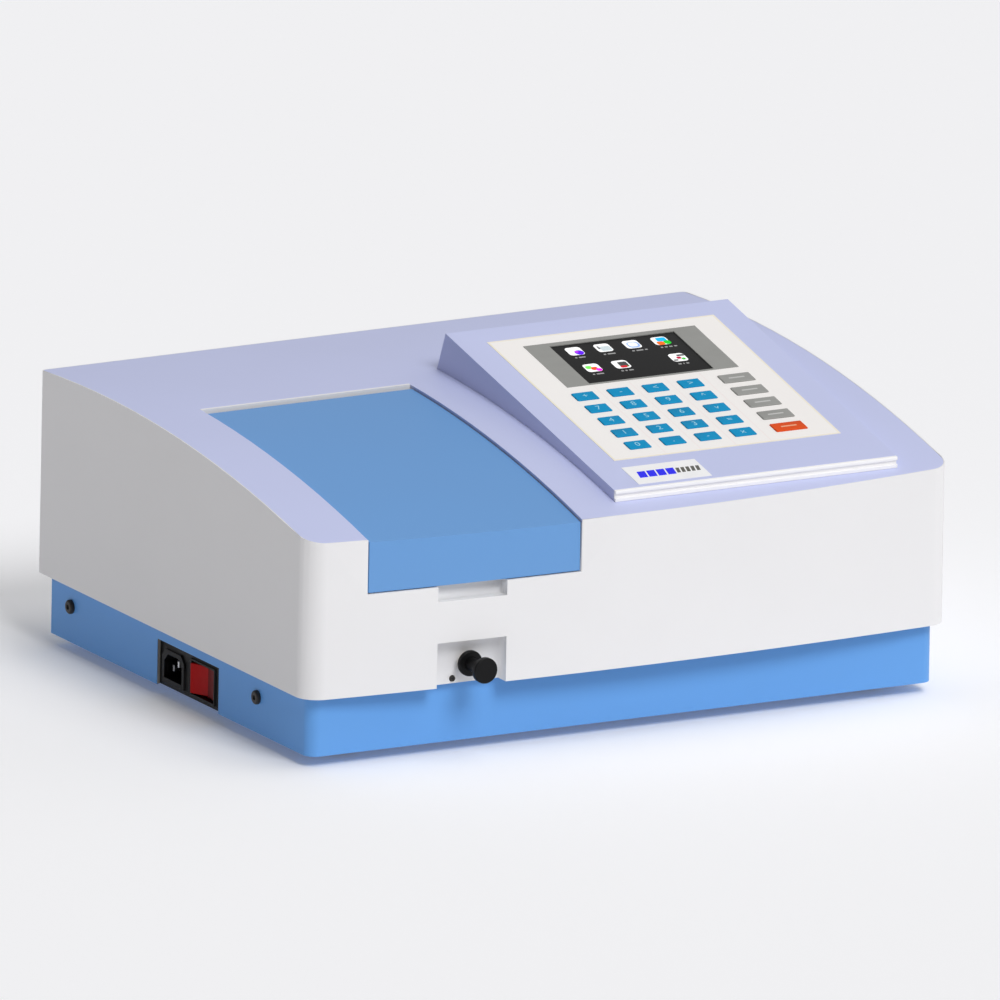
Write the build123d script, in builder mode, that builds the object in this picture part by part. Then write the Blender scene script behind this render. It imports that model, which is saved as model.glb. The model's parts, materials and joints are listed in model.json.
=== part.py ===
from build123d import *
import os
from math import cos, radians, sin, sqrt

os.makedirs("parts", exist_ok=True)

# A bench spectrophotometer with one drawer-type cell carriage. Millimetres, +Z up.
# X runs from the casing's left side to its right side, and Y from the front to the rear.
# The origin is under the middle of the whole instrument, on the surface it stands on.

# ---- casing and base ----
casing_width = 497.0
casing_depth = 381.0  # from the line between the front corners to the rear wall
knob_reach = 28.0  # the pull knob's front face, ahead of that line
foot_height = 8.0
tray_skirt = 42.0  # height of base that shows under the casing
tray_lap = 6.0  # height of base wall hidden inside the casing
tray_inset = 7.3
tray_wall = 2.4
tray_floor = 2.0
casing_wall = 3.0
front_bow = 11.0  # how far the front wall swells forward at its middle
front_corner_radius = 16.0
rear_corner_radius = 4.0
roof_radius = 1230.0
roof_apex_depth = 290.0  # behind the front corners
roof_apex_height = 186.6  # above the tray's underside
roof_thickness = 2.5
roof_rim = 0.8  # casing wall left outside the roof panel's edge
seat_gap = 0.05  # working gap between fixed pieces that drop into each other
over = 1.0  # how far a cut runs past the face that it opens
beyond = 20.0  # a distance that is clear of the casing on any side

left = -casing_width / 2
right = casing_width / 2
front = -(casing_depth - knob_reach) / 2
rear = front + casing_depth
tray_z = foot_height
floor_z = tray_z + tray_floor
casing_z = tray_z + tray_skirt
roof_apex_y = front + roof_apex_depth
roof_apex_z = tray_z + roof_apex_height
above_all = roof_apex_z + 3 * beyond

# ---- feet ----
foot_radius = 12.0
foot_inset = 45.0
foot_edge = 1.0

# ---- casing screws and the tabs they hold ----
screw_depths = (81.0, 345.0)  # behind the front corners
screw_height = 25.0
screw_shaft_radius = 2.0
screw_clearance = 0.3
screw_head_radius = 4.9
screw_head_height = 2.8
screw_head_round = 1.4
screw_socket_radius = 2.0
screw_socket_depth = 1.4
screw_length = 8.0
tab_width = 24.0
tab_thickness = 3.0
tab_gap = 0.3
tab_bottom = 14.0
tab_bridge_low = 54.0
tab_top = 66.0

# ---- sample compartment ----
opening_left = left + 44.5
opening_right = left + 206.0
opening_rear = front + 235.0
frame_wall = 2.0
frame_floor_top = tray_z + 117.0
frame_floor_bottom = tray_z + 115.0
frame_lip_top = tray_z + 120.0
sill_top = tray_z + 113.0
sill_bottom = tray_z + 111.0
frame_front = front + 1.4  # outer face of the upstand behind the lid's skirt
notch_left = left + 97.5
notch_right = left + 149.5
notch_bottom = tray_z + 102.6
notch_back = front
notch_wall = 1.2

# ---- pull rod recess ----
recess_left = left + 97.5
recess_right = left + 149.5
recess_top = tray_z + 73.6
recess_back = front + 1.8
rod_x = left + 124.0
rod_z = tray_z + 56.5
rod_radius = 3.0
bush_gap = 0.05
bush_radius = 4.6
bush_flange_radius = 5.6
bush_flange = 1.4
knob_radius = 9.0
knob_flange = 4.4
knob_rear_flange = 3.6
knob_neck_radius = 4.6
knob_length = 25.0
knob_edge = 1.0
rod_hole_gap = 1.0  # around the rod where it passes the chamber's wall

# ---- sample lid ----
lid_left = left + 46.0
lid_right = left + 205.2
lid_rear = front + 231.5
lid_drop = 2.1  # the lid's skin lies this far under the roof's surface
lid_wall = 2.5
lid_front_inset = 1.2
lid_bottom = tray_z + 113.7
lid_side_skirt = 12.0
lid_skirt_end = front + 212.0
lid_return = front + 1.0  # where the front skirt's full-height ends stop
hinge_y = front + 226.5
hinge_drop = 8.3  # hinge axis under the roof's surface
hinge_pin_radius = 1.6
hinge_bore_gap = 0.05
hinge_bracket_front = front + 220.0
hinge_bracket_rear = front + 228.4
hinge_bracket_height = 14.0
hinge_bracket_clear = 0.5  # bracket top under the lid's underside
hinge_bracket_reach = 5.5
hinge_ear_width = 4.0
hinge_ear_gap = 0.4
hinge_ear_radius = 4.2

# ---- sample chamber, rails and carriage ----
chamber_left = left + 61.0
chamber_right = left + 189.0
chamber_front = front + 22.0
chamber_rear = front + 187.0
chamber_bottom = tray_z + 36.0
chamber_wall = 2.0
chamber_flange = 5.0
chamber_flange_thickness = 1.5
beam_y = front + 100.0
beam_z = tray_z + 80.0
window_width = 12.0
window_height = 18.0
rail_radius = 3.0
rail_spread = 24.0  # each rail's distance from the pull rod's line
rail_z = tray_z + 45.0
carriage_plate_low = tray_z + 40.5
carriage_plate_high = tray_z + 50.0
carriage_plate_half = 32.0
carriage_half = 12.0
carriage_top = tray_z + 92.0
cell_pitch = 18.0
cell_count = 4
cell_width = 12.7
cell_floor = tray_z + 62.0
cell_end = 12.0  # metal in front of the first cell's middle and behind the last one's
cell_window_width = 8.0
cell_window_height = 14.0

# ---- console on the roof ----
console_left = left + 240.5
console_width = 218.0
console_right = console_left + console_width
console_front = front + 6.5
console_front_z = tray_z + 161.3
console_slope = 12.16
console_length = 248.8
console_rear_lean = 11.0  # how much further back the rear wall stands at its foot
console_wall = 2.4
console_trim = 2.5
console_groove_height = 2.6
console_groove_depth = 1.6
console_groove_drop = 2.4
panel_recess = 1.0
panel_proud = 0.2
panel_span = (21.5, 42.5, 196.5, 229.0)  # left, low, right, high on the console's face
bezel_span = (43.0, 152.0, 175.5, 217.0)
bezel_proud = 0.35
screen_span = (61.0, 154.0, 157.0, 212.5)
screen_sunk = 0.35
screen_body_margin = 7.0
screen_body_depth = 8.0
plate_span = (21.0, 5.6, 77.5, 31.6)
plate_recess = 0.5
plate_proud = 0.25
key_columns = (48.8, 75.9, 103.0, 130.1)
key_rows = (136.7, 117.65, 98.6, 79.5, 60.4)
key_size = (16.5, 11.0)
function_column = 165.5
function_size = (24.0, 11.5)
key_gap = 0.3
key_proud = 0.9
key_corner = 0.9
key_edge = 0.3
key_flange = 1.0
key_flange_top = -1.05
key_flange_bottom = -2.1
key_foot = -3.2
key_foot_radius = 2.5
window_span = (38.0, 52.0, 180.0, 145.0)
board_span = (26.0, 46.0, 192.0, 146.5)
board_top = -4.6
board_bottom = -6.0
dome_top = -3.9
dome_radius = 3.0
post_radius = 2.2
post_columns = (32.0, 186.0)
post_rows = (60.0, 135.0)
wiring_span = (console_left + 14.0, front + 60.0, console_right - 14.0, front + 236.0)

# ---- power inlet and switch in the base's left side ----
power_front = front + 136.0
power_rear = front + 223.0
power_top = tray_z + 32.0
face_left = left + tray_inset + tray_wall
face_thickness = 2.0
face_margin = 4.0
face_low = tray_z + 0.6
module_depth = 26.0
switch_y = front + 161.25
switch_z = tray_z + 16.0
switch_width = 34.5
switch_height = 26.0
switch_frame = 1.5
switch_frame_proud = 1.2
rocker_gap = 1.0
rocker_tilt = 6.0
rocker_edge = 6.4  # how far the cap's ends stand out past its pivot
rocker_middle = 1.8
rocker_back = 3.0
rocker_depth = 5.0  # pivot behind the face plate's front
rocker_pin_reach = 2.2
rocker_well = 12.0
rocker_pin_radius = 1.5
rocker_pin_end_gap = 0.5  # bore past the switch's frame, above and below
inlet_y = front + 202.5
inlet_z = tray_z + 15.5
inlet_width = 24.5
inlet_height = 17.0
inlet_chamfer = 5.0
inlet_rim = 3.2
inlet_rim_proud = 1.4
inlet_depth = 17.0
inlet_pin = (14.0, 2.0, 4.0)
inlet_pins = ((-7.0, -1.5), (0.0, 2.5), (7.0, -1.5))

# ---- optical bench and what stands on it ----
bench_low = tray_z + 24.0
bench_high = tray_z + 30.0
bench_span = (left + 62.0, front + 30.0, left + 478.0, front + 356.0)
bench_post_radius = 7.0
bench_posts = ((80.0, 210.0), (80.0, 340.0), (460.0, 48.0), (460.0, 340.0))
case_span = (left + 244.0, front + 44.0, left + 404.0, front + 196.0)
case_high = tray_z + 126.0
case_wall = 3.0
turret_at = (left + 330.0, front + 118.0)
turret_radius = 20.0
turret_shaft_radius = 4.0
turret_disc = 6.0
grating_size = (32.0, 7.0, 40.0)
slit_x = left + 330.0
slit_size = (10.0, 16.0)
wheel_x = slit_x + 14.0
wheel_y = front + 204.0
wheel_radius = 22.0
wheel_thickness = 3.0
wheel_holes = 6
wheel_hole_radius = 4.5
wheel_hole_ring = 14.0
wheel_pin_radius = 2.5
wheel_pin_length = 14.0
wheel_hub_radius = 6.0
wheel_hub_length = 7.0
mirror_at = (left + 330.0, front + 262.0)
mirror_post_radius = 4.0
mirror_sleeve_radius = 7.0
mirror_size = (30.0, 2.5, 30.0)
mirror_sleeve_length = 36.0
mirror_seat = 0.6  # how deep the mirror sits in its sleeve
deuterium_at = (left + 286.0, front + 300.0)
deuterium_sizes = (17.0, 12.0, 13.0, 80.0)  # base radius, base height, bulb radius, height
halogen_at = (left + 374.0, front + 300.0)
halogen_sizes = (12.0, 16.0, 6.5, 66.0)
bulb_round = 0.6  # share of the bulb's radius that rounds its tip
detector_x = (left + 16.0, left + 50.0)
detector_size = (40.0, 36.0)
detector_leg = 18.0
supply_span = (left + 160.0, front + 214.0, left + 236.0, front + 350.0)
supply_height = 58.0
board_low = tray_z + 40.0
main_board_span = (left + 72.0, front + 200.0, left + 150.0, front + 346.0)
main_board_thickness = 1.6
main_post_radius = 3.0
main_post_inset = 6.0
part_sizes = ((24.0, 24.0, 3.0), (18.0, 30.0, 8.0), (30.0, 14.0, 12.0), (14.0, 14.0, 2.0))
part_start = 24.0
part_pitch = 34.0

# ---- cooling fan behind the rear wall ----
fan_x = left + 400.0
fan_z = tray_z + 108.0
fan_size = 60.0
fan_depth = 20.0
fan_bore = 28.0
fan_hub = 11.0
fan_pin_radius = 2.0
fan_blades = 7
fan_blade_reach = 27.0
fan_blade_thickness = 3.0
fan_blade_twist = 18.0
fan_blade_length = 12.0
fan_struts = 3
fan_strut_width = 4.0
fan_plate = 3.0  # thickness of the struts and of the motor's plate
fan_hub_gap = 0.4
fan_root = 2.0  # how far struts and blades run into what they join
vent_slot = (3.0, 44.0)
vent_count = 9
vent_pitch = 6.0
louvre_count = 14
louvre_pitch = 8.0
louvre_slot = (3.0, 26.0)
louvre_x = left + 130.0
louvre_z = tray_z + 80.0

running_gap = 0.05


def roof_z(y, drop=0.0):
    """Height of the roof's arc at depth y, or of the arc that lies drop under it."""
    return roof_apex_z - roof_radius + sqrt((roof_radius - drop) ** 2 - (y - roof_apex_y) ** 2)


def console_face(lift=0.0):
    """The console's sloping face: x across it, y up the slope, z out of it."""
    slope = radians(console_slope)
    base = Plane(
        origin=(console_left, console_front, console_front_z),
        x_dir=(1, 0, 0),
        z_dir=(0, -sin(slope), cos(slope)),
    )
    return base.offset(lift)


def block(low, high, mode=Mode.ADD):
    """A box between two opposite corners."""
    middle = [(a + b) / 2 for a, b in zip(low, high)]
    with Locations(tuple(middle)):
        Box(high[0] - low[0], high[1] - low[1], high[2] - low[2], mode=mode)


def slab(span, bottom, top, mode=Mode.ADD, grow=0.0, corner=0.0):
    """A plate on the console's face between two heights above it."""
    x0, y0, x1, y1 = span
    with BuildSketch(console_face(bottom)) as outline:
        with Locations(((x0 + x1) / 2, (y0 + y1) / 2)):
            if corner:
                RectangleRounded(x1 - x0 + 2 * grow, y1 - y0 + 2 * grow, corner)
            else:
                Rectangle(x1 - x0 + 2 * grow, y1 - y0 + 2 * grow)
    extrude(outline.sketch, amount=top - bottom, mode=mode)


def rod(radius, start, end, mode=Mode.ADD):
    """A round bar from one point to another."""
    line = Vector(*end) - Vector(*start)
    with BuildSketch(Plane(origin=start, z_dir=line.normalized())) as outline:
        Circle(radius)
    extrude(outline.sketch, amount=line.length, mode=mode)


def footprint(inset, straight=False):
    """The casing's outline seen from above, drawn inset from its outer face."""
    y0 = front + inset
    with BuildLine() as outline:
        if straight:
            Line((left + inset, y0), (right - inset, y0))
        else:
            ThreePointArc((left + inset, y0), (0, y0 - front_bow), (right - inset, y0))
        Polyline(
            (right - inset, y0),
            (right - inset, rear - inset),
            (left + inset, rear - inset),
            (left + inset, y0),
        )
    make_face(outline.edges())
    fillet(vertices().group_by(Axis.Y)[0], max(front_corner_radius - inset, 1.0))
    fillet(vertices().group_by(Axis.Y)[-1], max(rear_corner_radius - inset, 1.0))


def column(inset, low, high, mode=Mode.ADD, straight=False):
    """The casing's outline as an upright column."""
    with BuildSketch(Plane.XY.offset(low)) as outline:
        footprint(inset, straight)
    extrude(outline.sketch, amount=high - low, mode=mode)


def under_roof(drop, mode=Mode.INTERSECT):
    """Everything under the arc that lies drop under the roof's surface."""
    y0 = front - 2 * beyond
    y1 = rear + beyond
    start = (y0, roof_z(y0, drop))
    end = (y1, roof_z(y1, drop))
    with BuildSketch(Plane.YZ.offset(left - beyond)) as outline:
        with BuildLine():
            ThreePointArc(start, (roof_apex_y, roof_apex_z - drop), end)
            Polyline(end, (y1, 0.0), (y0, 0.0), start)
        make_face()
    extrude(outline.sketch, amount=casing_width + 2 * beyond, mode=mode)


def finish(piece, name):
    """Labels a piece and writes it."""
    piece.part.label = name
    export_step(piece.part, f"parts/{name}.step")


# ---- base tray: folded steel, open on top, with the power notch in its left side ----
with BuildPart() as base_tray:
    column(tray_inset, tray_z, casing_z + tray_lap, straight=True)
    column(tray_inset + tray_wall, floor_z, casing_z + tray_lap, Mode.SUBTRACT, straight=True)
    block(
        (left, power_front, tray_z),
        (face_left, power_rear, power_top),
        Mode.SUBTRACT,
    )
    block(
        (face_left - over, power_front - face_margin - tab_gap, tray_z),
        (face_left + face_thickness + tab_gap, power_rear + face_margin + tab_gap, floor_z),
        Mode.SUBTRACT,
    )
    with Locations(*[(left + x, front + y, floor_z) for x, y in bench_posts]):
        Cylinder(
            bench_post_radius,
            bench_low - floor_z,
            align=(Align.CENTER, Align.CENTER, Align.MIN),
        )
    for depth in screw_depths:
        rod(
            screw_shaft_radius + screw_clearance,
            (left - over, front + depth, tray_z + screw_height),
            (left + tray_inset + tray_wall + over, front + depth, tray_z + screw_height),
            Mode.SUBTRACT,
        )
        rod(
            screw_shaft_radius + screw_clearance,
            (right + over, front + depth, tray_z + screw_height),
            (right - tray_inset - tray_wall - over, front + depth, tray_z + screw_height),
            Mode.SUBTRACT,
        )
finish(base_tray, "base_tray")

# ---- four rubber feet ----
with BuildPart() as rubber_feet:
    with BuildSketch():
        with Locations((0, (front + rear) / 2)):
            with GridLocations(casing_width - 2 * foot_inset, casing_depth - 2 * foot_inset, 2, 2):
                Circle(foot_radius)
    extrude(amount=foot_height)
    chamfer(rubber_feet.edges().group_by(Axis.Z)[0], foot_edge)
finish(rubber_feet, "rubber_feet")

# ---- the space that the roof panel needs, cut from the pieces under it ----
with BuildPart() as roof_seat:
    column(roof_rim - seat_gap, casing_z + tray_skirt, above_all)
    under_roof(roof_thickness + seat_gap, Mode.SUBTRACT)

# ---- upper casing: the moulded wall that stands round the tray, with its screw tabs ----
with BuildPart() as upper_casing:
    column(0.0, casing_z, above_all)
    column(casing_wall, casing_z, above_all, Mode.SUBTRACT)
    # the pull rod's recess, open at the casing's lower edge
    block(
        (recess_left - frame_wall, front - front_bow, casing_z),
        (recess_right + frame_wall, recess_back + frame_wall, recess_top + frame_wall),
    )
    block(
        (recess_left, front - beyond, casing_z),
        (recess_right, recess_back, recess_top),
        Mode.SUBTRACT,
    )
    # the finger notch under the lid, with the sill that joins it to the wall
    block(
        (notch_left - frame_wall, front - front_bow, notch_bottom - frame_wall),
        (notch_right + frame_wall, notch_back + notch_wall, sill_top),
    )
    block(
        (notch_left, front - beyond, notch_bottom),
        (notch_right, notch_back, sill_top + over),
        Mode.SUBTRACT,
    )
    # both stay behind the bowed front face
    column(0.0, casing_z, above_all, Mode.INTERSECT)
    # the opening that the lid's front skirt fills
    block(
        (opening_left, front - beyond, sill_top),
        (opening_right, front + beyond, above_all),
        Mode.SUBTRACT,
    )
    # fan grille and louvres in the rear wall
    with BuildSketch(Plane.XZ.offset(-rear - over)):
        with Locations((fan_x, fan_z)):
            with GridLocations(vent_pitch, 0, vent_count, 1):
                SlotOverall(vent_slot[1], vent_slot[0], rotation=90)
        with Locations((louvre_x, louvre_z)):
            with GridLocations(louvre_pitch, 0, louvre_count, 1):
                SlotOverall(louvre_slot[1], louvre_slot[0], rotation=90)
    extrude(amount=casing_wall + 2 * over, mode=Mode.SUBTRACT)
    rod(
        bush_radius + seat_gap,
        (rod_x, recess_back - over, rod_z),
        (rod_x, recess_back + frame_wall + over, rod_z),
        Mode.SUBTRACT,
    )
    # tabs that reach down inside the tray's side walls
    for depth in screw_depths:
        for side in (1, -1):
            outer = left + tray_inset + tray_wall + tab_gap
            y0 = front + depth - tab_width / 2
            y1 = front + depth + tab_width / 2
            near = sorted((side * outer, side * (outer + tab_thickness)))
            bridge = sorted((side * (left + casing_wall), side * (outer + tab_thickness)))
            block((near[0], y0, tray_z + tab_bottom), (near[1], y1, tray_z + tab_top))
            block((bridge[0], y0, tray_z + tab_bridge_low), (bridge[1], y1, tray_z + tab_top))
            rod(
                screw_shaft_radius + seat_gap,
                (side * (outer - over), front + depth, tray_z + screw_height),
                (side * (outer + tab_thickness + over), front + depth, tray_z + screw_height),
                Mode.SUBTRACT,
            )
    under_roof(0.0)
    # the rebate that the roof panel drops into
    add(roof_seat.part, mode=Mode.SUBTRACT)
finish(upper_casing, "upper_casing")

# ---- roof panel: one arched sheet, cut out for the lid and for the console's wiring ----
with BuildPart() as roof_panel:
    column(roof_rim, casing_z, above_all)
    under_roof(0.0)
    under_roof(roof_thickness, Mode.SUBTRACT)
    block(
        (opening_left, front - beyond, casing_z),
        (opening_right, opening_rear + frame_wall + seat_gap, above_all),
        Mode.SUBTRACT,
    )
    block(
        (wiring_span[0], wiring_span[1], casing_z),
        (wiring_span[2], wiring_span[3], above_all),
        Mode.SUBTRACT,
    )
finish(roof_panel, "roof_panel")

# ---- compartment frame: the white well that the lid closes, with its floor and upstand ----
hinge_z = roof_z(hinge_y) - hinge_drop
bracket_top = roof_z(hinge_bracket_front) - lid_drop - lid_wall - hinge_bracket_clear
with BuildPart() as compartment_frame:
    block(
        (opening_left - frame_wall, front - beyond, sill_bottom),
        (opening_right + frame_wall, opening_rear + frame_wall, above_all),
    )
    block(
        (opening_left, front - beyond - over, sill_top),
        (opening_right, frame_front, above_all),
        Mode.SUBTRACT,
    )
    block(
        (opening_left, frame_front - over, frame_lip_top),
        (opening_right, opening_rear, above_all),
        Mode.SUBTRACT,
    )
    block(
        (opening_left, frame_front + frame_wall, frame_floor_top),
        (opening_right, opening_rear, above_all),
        Mode.SUBTRACT,
    )
    block(
        (opening_left - frame_wall - over, frame_front + frame_wall, sill_bottom - over),
        (opening_right + frame_wall + over, opening_rear + frame_wall + over, frame_floor_bottom),
        Mode.SUBTRACT,
    )
    block(
        (chamber_left - seat_gap, chamber_front - seat_gap, sill_bottom),
        (chamber_right + seat_gap, chamber_rear + seat_gap, above_all),
        Mode.SUBTRACT,
    )
    block(
        (notch_left - frame_wall - seat_gap, front - beyond - over, sill_bottom - over),
        (notch_right + frame_wall + seat_gap, frame_front, sill_top + over),
        Mode.SUBTRACT,
    )
    column(casing_wall + seat_gap, casing_z, above_all, Mode.INTERSECT)
    under_roof(0.0)
    add(roof_seat.part, mode=Mode.SUBTRACT)
    # the rear wall alone rises to the roof's surface, in the roof panel's cut-out
    block(
        (opening_left + seat_gap, opening_rear, frame_floor_top),
        (opening_right - seat_gap, opening_rear + frame_wall, above_all),
    )
    under_roof(0.0)
    # the two blocks that the lid's pins turn in
    for side, wall in ((1, opening_left), (-1, opening_right)):
        near = sorted((wall, wall + side * hinge_bracket_reach))
        block(
            (near[0], hinge_bracket_front, bracket_top - hinge_bracket_height),
            (near[1], hinge_bracket_rear, bracket_top),
        )
        rod(
            hinge_pin_radius + hinge_bore_gap,
            (wall, hinge_y, hinge_z),
            (wall + side * (hinge_bracket_reach + over), hinge_y, hinge_z),
            Mode.SUBTRACT,
        )
finish(compartment_frame, "compartment_frame")

# ---- sample lid: an arched shell with a deep front skirt, on two short hinge ears ----
with BuildPart() as lid_hollow:
    column(lid_front_inset + lid_wall, casing_z, above_all)
    block(
        (lid_left + lid_wall, front - beyond, casing_z),
        (lid_right - lid_wall, lid_rear + over, above_all),
        Mode.INTERSECT,
    )
    under_roof(lid_drop + lid_wall)
with BuildPart() as lid_side_cut:
    block((left, lid_return, casing_z), (right, rear, above_all))
    under_roof(lid_drop + lid_side_skirt)
with BuildPart() as lid_rear_cut:
    block((left, lid_skirt_end, casing_z), (right, rear, above_all))
    under_roof(lid_drop + lid_wall)
with BuildPart() as sample_lid:
    column(lid_front_inset, lid_bottom, above_all)
    block((lid_left, front - beyond, lid_bottom), (lid_right, lid_rear, above_all), Mode.INTERSECT)
    under_roof(lid_drop)
    add(lid_hollow.part, mode=Mode.SUBTRACT)
    add(lid_side_cut.part, mode=Mode.SUBTRACT)
    add(lid_rear_cut.part, mode=Mode.SUBTRACT)
    for side, wall in ((1, opening_left), (-1, opening_right)):
        ear_start = wall + side * (hinge_bracket_reach + hinge_ear_gap)
        ear_end = ear_start + side * hinge_ear_width
        near = sorted((ear_start, ear_end))
        block(
            (near[0], hinge_y - hinge_ear_radius, hinge_z),
            (near[1], hinge_y + hinge_ear_radius, hinge_z + hinge_drop - lid_drop - lid_wall / 2),
        )
        rod(hinge_ear_radius, (ear_start, hinge_y, hinge_z), (ear_end, hinge_y, hinge_z))
        rod(hinge_pin_radius, (wall + side * hinge_ear_gap, hinge_y, hinge_z), (ear_start, hinge_y, hinge_z))
finish(sample_lid, "sample_lid")

# ---- sample chamber: the black well that hangs in the frame by its flange ----
with BuildPart() as sample_chamber:
    block((chamber_left, chamber_front, chamber_bottom), (chamber_right, chamber_rear, frame_floor_top))
    block(
        (chamber_left - chamber_flange, chamber_front - chamber_flange, frame_floor_top),
        (
            chamber_right + chamber_flange,
            chamber_rear + chamber_flange,
            frame_floor_top + chamber_flange_thickness,
        ),
    )
    block(
        (chamber_left + chamber_wall, chamber_front + chamber_wall, chamber_bottom + chamber_wall),
        (chamber_right - chamber_wall, chamber_rear - chamber_wall, above_all),
        Mode.SUBTRACT,
    )
    block(
        (chamber_left - over, beam_y - window_width / 2, beam_z - window_height / 2),
        (chamber_right + over, beam_y + window_width / 2, beam_z + window_height / 2),
        Mode.SUBTRACT,
    )
    rod(
        rod_radius + rod_hole_gap,
        (rod_x, chamber_front - over, rod_z),
        (rod_x, chamber_front + chamber_wall + over, rod_z),
        Mode.SUBTRACT,
    )
finish(sample_chamber, "sample_chamber")

# ---- quartz windows that close the chamber's two beam openings ----
with BuildPart() as chamber_windows:
    for x in (chamber_left, chamber_right - chamber_wall):
        block(
            (x, beam_y - window_width / 2, beam_z - window_height / 2),
            (x + chamber_wall, beam_y + window_width / 2, beam_z + window_height / 2),
        )
finish(chamber_windows, "chamber_windows")

# ---- carriage rails ----
with BuildPart() as carriage_rails:
    for side in (-1, 1):
        rod(
            rail_radius,
            (rod_x + side * rail_spread, chamber_front + chamber_wall, rail_z),
            (rod_x + side * rail_spread, chamber_rear - chamber_wall, rail_z),
        )
finish(carriage_rails, "carriage_rails")

# ---- cell carriage: four wells in a row, the first one in the beam ----
carriage_front = beam_y - cell_end
carriage_rear = beam_y + (cell_count - 1) * cell_pitch + cell_end
with BuildPart() as cell_carriage:
    block(
        (rod_x - carriage_plate_half, carriage_front, carriage_plate_low),
        (rod_x + carriage_plate_half, carriage_rear, carriage_plate_high),
    )
    block(
        (rod_x - carriage_half, carriage_front, carriage_plate_high),
        (rod_x + carriage_half, carriage_rear, carriage_top),
    )
    for cell in range(cell_count):
        y = beam_y + cell * cell_pitch
        block(
            (rod_x - cell_width / 2, y - cell_width / 2, cell_floor),
            (rod_x + cell_width / 2, y + cell_width / 2, carriage_top + over),
            Mode.SUBTRACT,
        )
        block(
            (rod_x - carriage_half - over, y - cell_window_width / 2, beam_z - cell_window_height / 2),
            (rod_x + carriage_half + over, y + cell_window_width / 2, beam_z + cell_window_height / 2),
            Mode.SUBTRACT,
        )
    for side in (-1, 1):
        rod(
            rail_radius + running_gap,
            (rod_x + side * rail_spread, carriage_front - over, rail_z),
            (rod_x + side * rail_spread, carriage_rear + over, rail_z),
            Mode.SUBTRACT,
        )
finish(cell_carriage, "cell_carriage")

# ---- pull knob, rod and the bush the rod runs in ----
knob_front = front - knob_reach
with BuildPart() as pull_knob:
    rod(knob_radius, (rod_x, knob_front, rod_z), (rod_x, knob_front + knob_flange, rod_z))
    rod(knob_neck_radius, (rod_x, knob_front, rod_z), (rod_x, knob_front + knob_length, rod_z))
    rod(
        knob_radius,
        (rod_x, knob_front + knob_length - knob_rear_flange, rod_z),
        (rod_x, knob_front + knob_length, rod_z),
    )
    rod(
        rod_radius + seat_gap,
        (rod_x, knob_front + knob_flange * 2, rod_z),
        (rod_x, knob_front + knob_length + over, rod_z),
        Mode.SUBTRACT,
    )
    rims = pull_knob.edges().filter_by(GeomType.CIRCLE).filter_by(lambda rim: rim.radius > knob_neck_radius)
    fillet(rims, knob_edge)
finish(pull_knob, "pull_knob")

with BuildPart() as pull_rod:
    rod(rod_radius, (rod_x, knob_front + knob_flange * 2, rod_z), (rod_x, carriage_front, rod_z))
finish(pull_rod, "pull_rod")

with BuildPart() as rod_bush:
    rod(bush_flange_radius, (rod_x, recess_back - bush_flange, rod_z), (rod_x, recess_back, rod_z))
    rod(
        bush_radius,
        (rod_x, recess_back - bush_flange, rod_z),
        (rod_x, recess_back + frame_wall + over, rod_z),
    )
    rod(
        rod_radius + bush_gap,
        (rod_x, recess_back - bush_flange - over, rod_z),
        (rod_x, recess_back + frame_wall + 2 * over, rod_z),
        Mode.SUBTRACT,
    )
finish(rod_bush, "rod_bush")

# ---- console housing: a hollow wedge that stands on the roof panel ----
slope = radians(console_slope)
console_top_y = console_front + console_length * cos(slope)
console_foot_y = console_top_y + console_rear_lean
console_foot_z = roof_z(console_foot_y)
console_body_y = console_front + console_trim


def face_z(y, depth=0.0):
    """Height of the console's face at depth y, or of the plane that lies depth under it."""
    return console_front_z + (y - console_front) * sin(slope) / cos(slope) - depth / cos(slope)


def wedge(start, wall, x_low, x_high, mode=Mode.ADD):
    """The console's side outline, drawn wall inside its outer faces, as a prism."""
    top_y = console_top_y - wall
    foot_y = console_foot_y - wall
    with BuildSketch(Plane.YZ.offset(x_low)) as outline:
        with BuildLine():
            Polyline(
                (start, casing_z),
                (start, face_z(start, wall)),
                (top_y, face_z(top_y, wall)),
                (foot_y, console_foot_z),
                (foot_y, casing_z),
                (start, casing_z),
            )
        make_face()
    extrude(outline.sketch, amount=x_high - x_low, mode=mode)


with BuildPart() as console_housing:
    wedge(console_body_y, 0.0, console_left, console_right)
    wedge(
        console_body_y + console_wall,
        console_wall,
        console_left + console_wall,
        console_right - console_wall,
        Mode.SUBTRACT,
    )
    under_roof(0.0, Mode.SUBTRACT)
    slab(panel_span, -panel_recess, beyond, Mode.SUBTRACT, seat_gap)
    slab(window_span, -console_wall - over, 0.0, Mode.SUBTRACT)
    slab(screen_span, -console_wall - over, 0.0, Mode.SUBTRACT, key_gap)
    slab(plate_span, -plate_recess, beyond, Mode.SUBTRACT, seat_gap)
    with BuildSketch(console_face(board_top)):
        with Locations(*[(x, y) for x in post_columns for y in post_rows]):
            Circle(post_radius)
    extrude(amount=-board_top - console_wall)
finish(console_housing, "console_housing")

# ---- console front trim: the pale strip along the console's front edge ----
groove_top = console_front_z - console_groove_drop
groove_bottom = groove_top - console_groove_height
groove_back = console_front + console_groove_depth
with BuildPart() as console_front_trim:
    with BuildSketch(Plane.YZ.offset(console_left)):
        with BuildLine():
            Polyline(
                (console_front, casing_z),
                (console_front, groove_bottom),
                (groove_back, groove_bottom),
                (groove_back, groove_top),
                (console_front, groove_top),
                (console_front, console_front_z),
                (console_body_y, face_z(console_body_y)),
                (console_body_y, casing_z),
                (console_front, casing_z),
            )
        make_face()
    extrude(amount=console_width)
    under_roof(0.0, Mode.SUBTRACT)
finish(console_front_trim, "console_front_trim")

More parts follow.
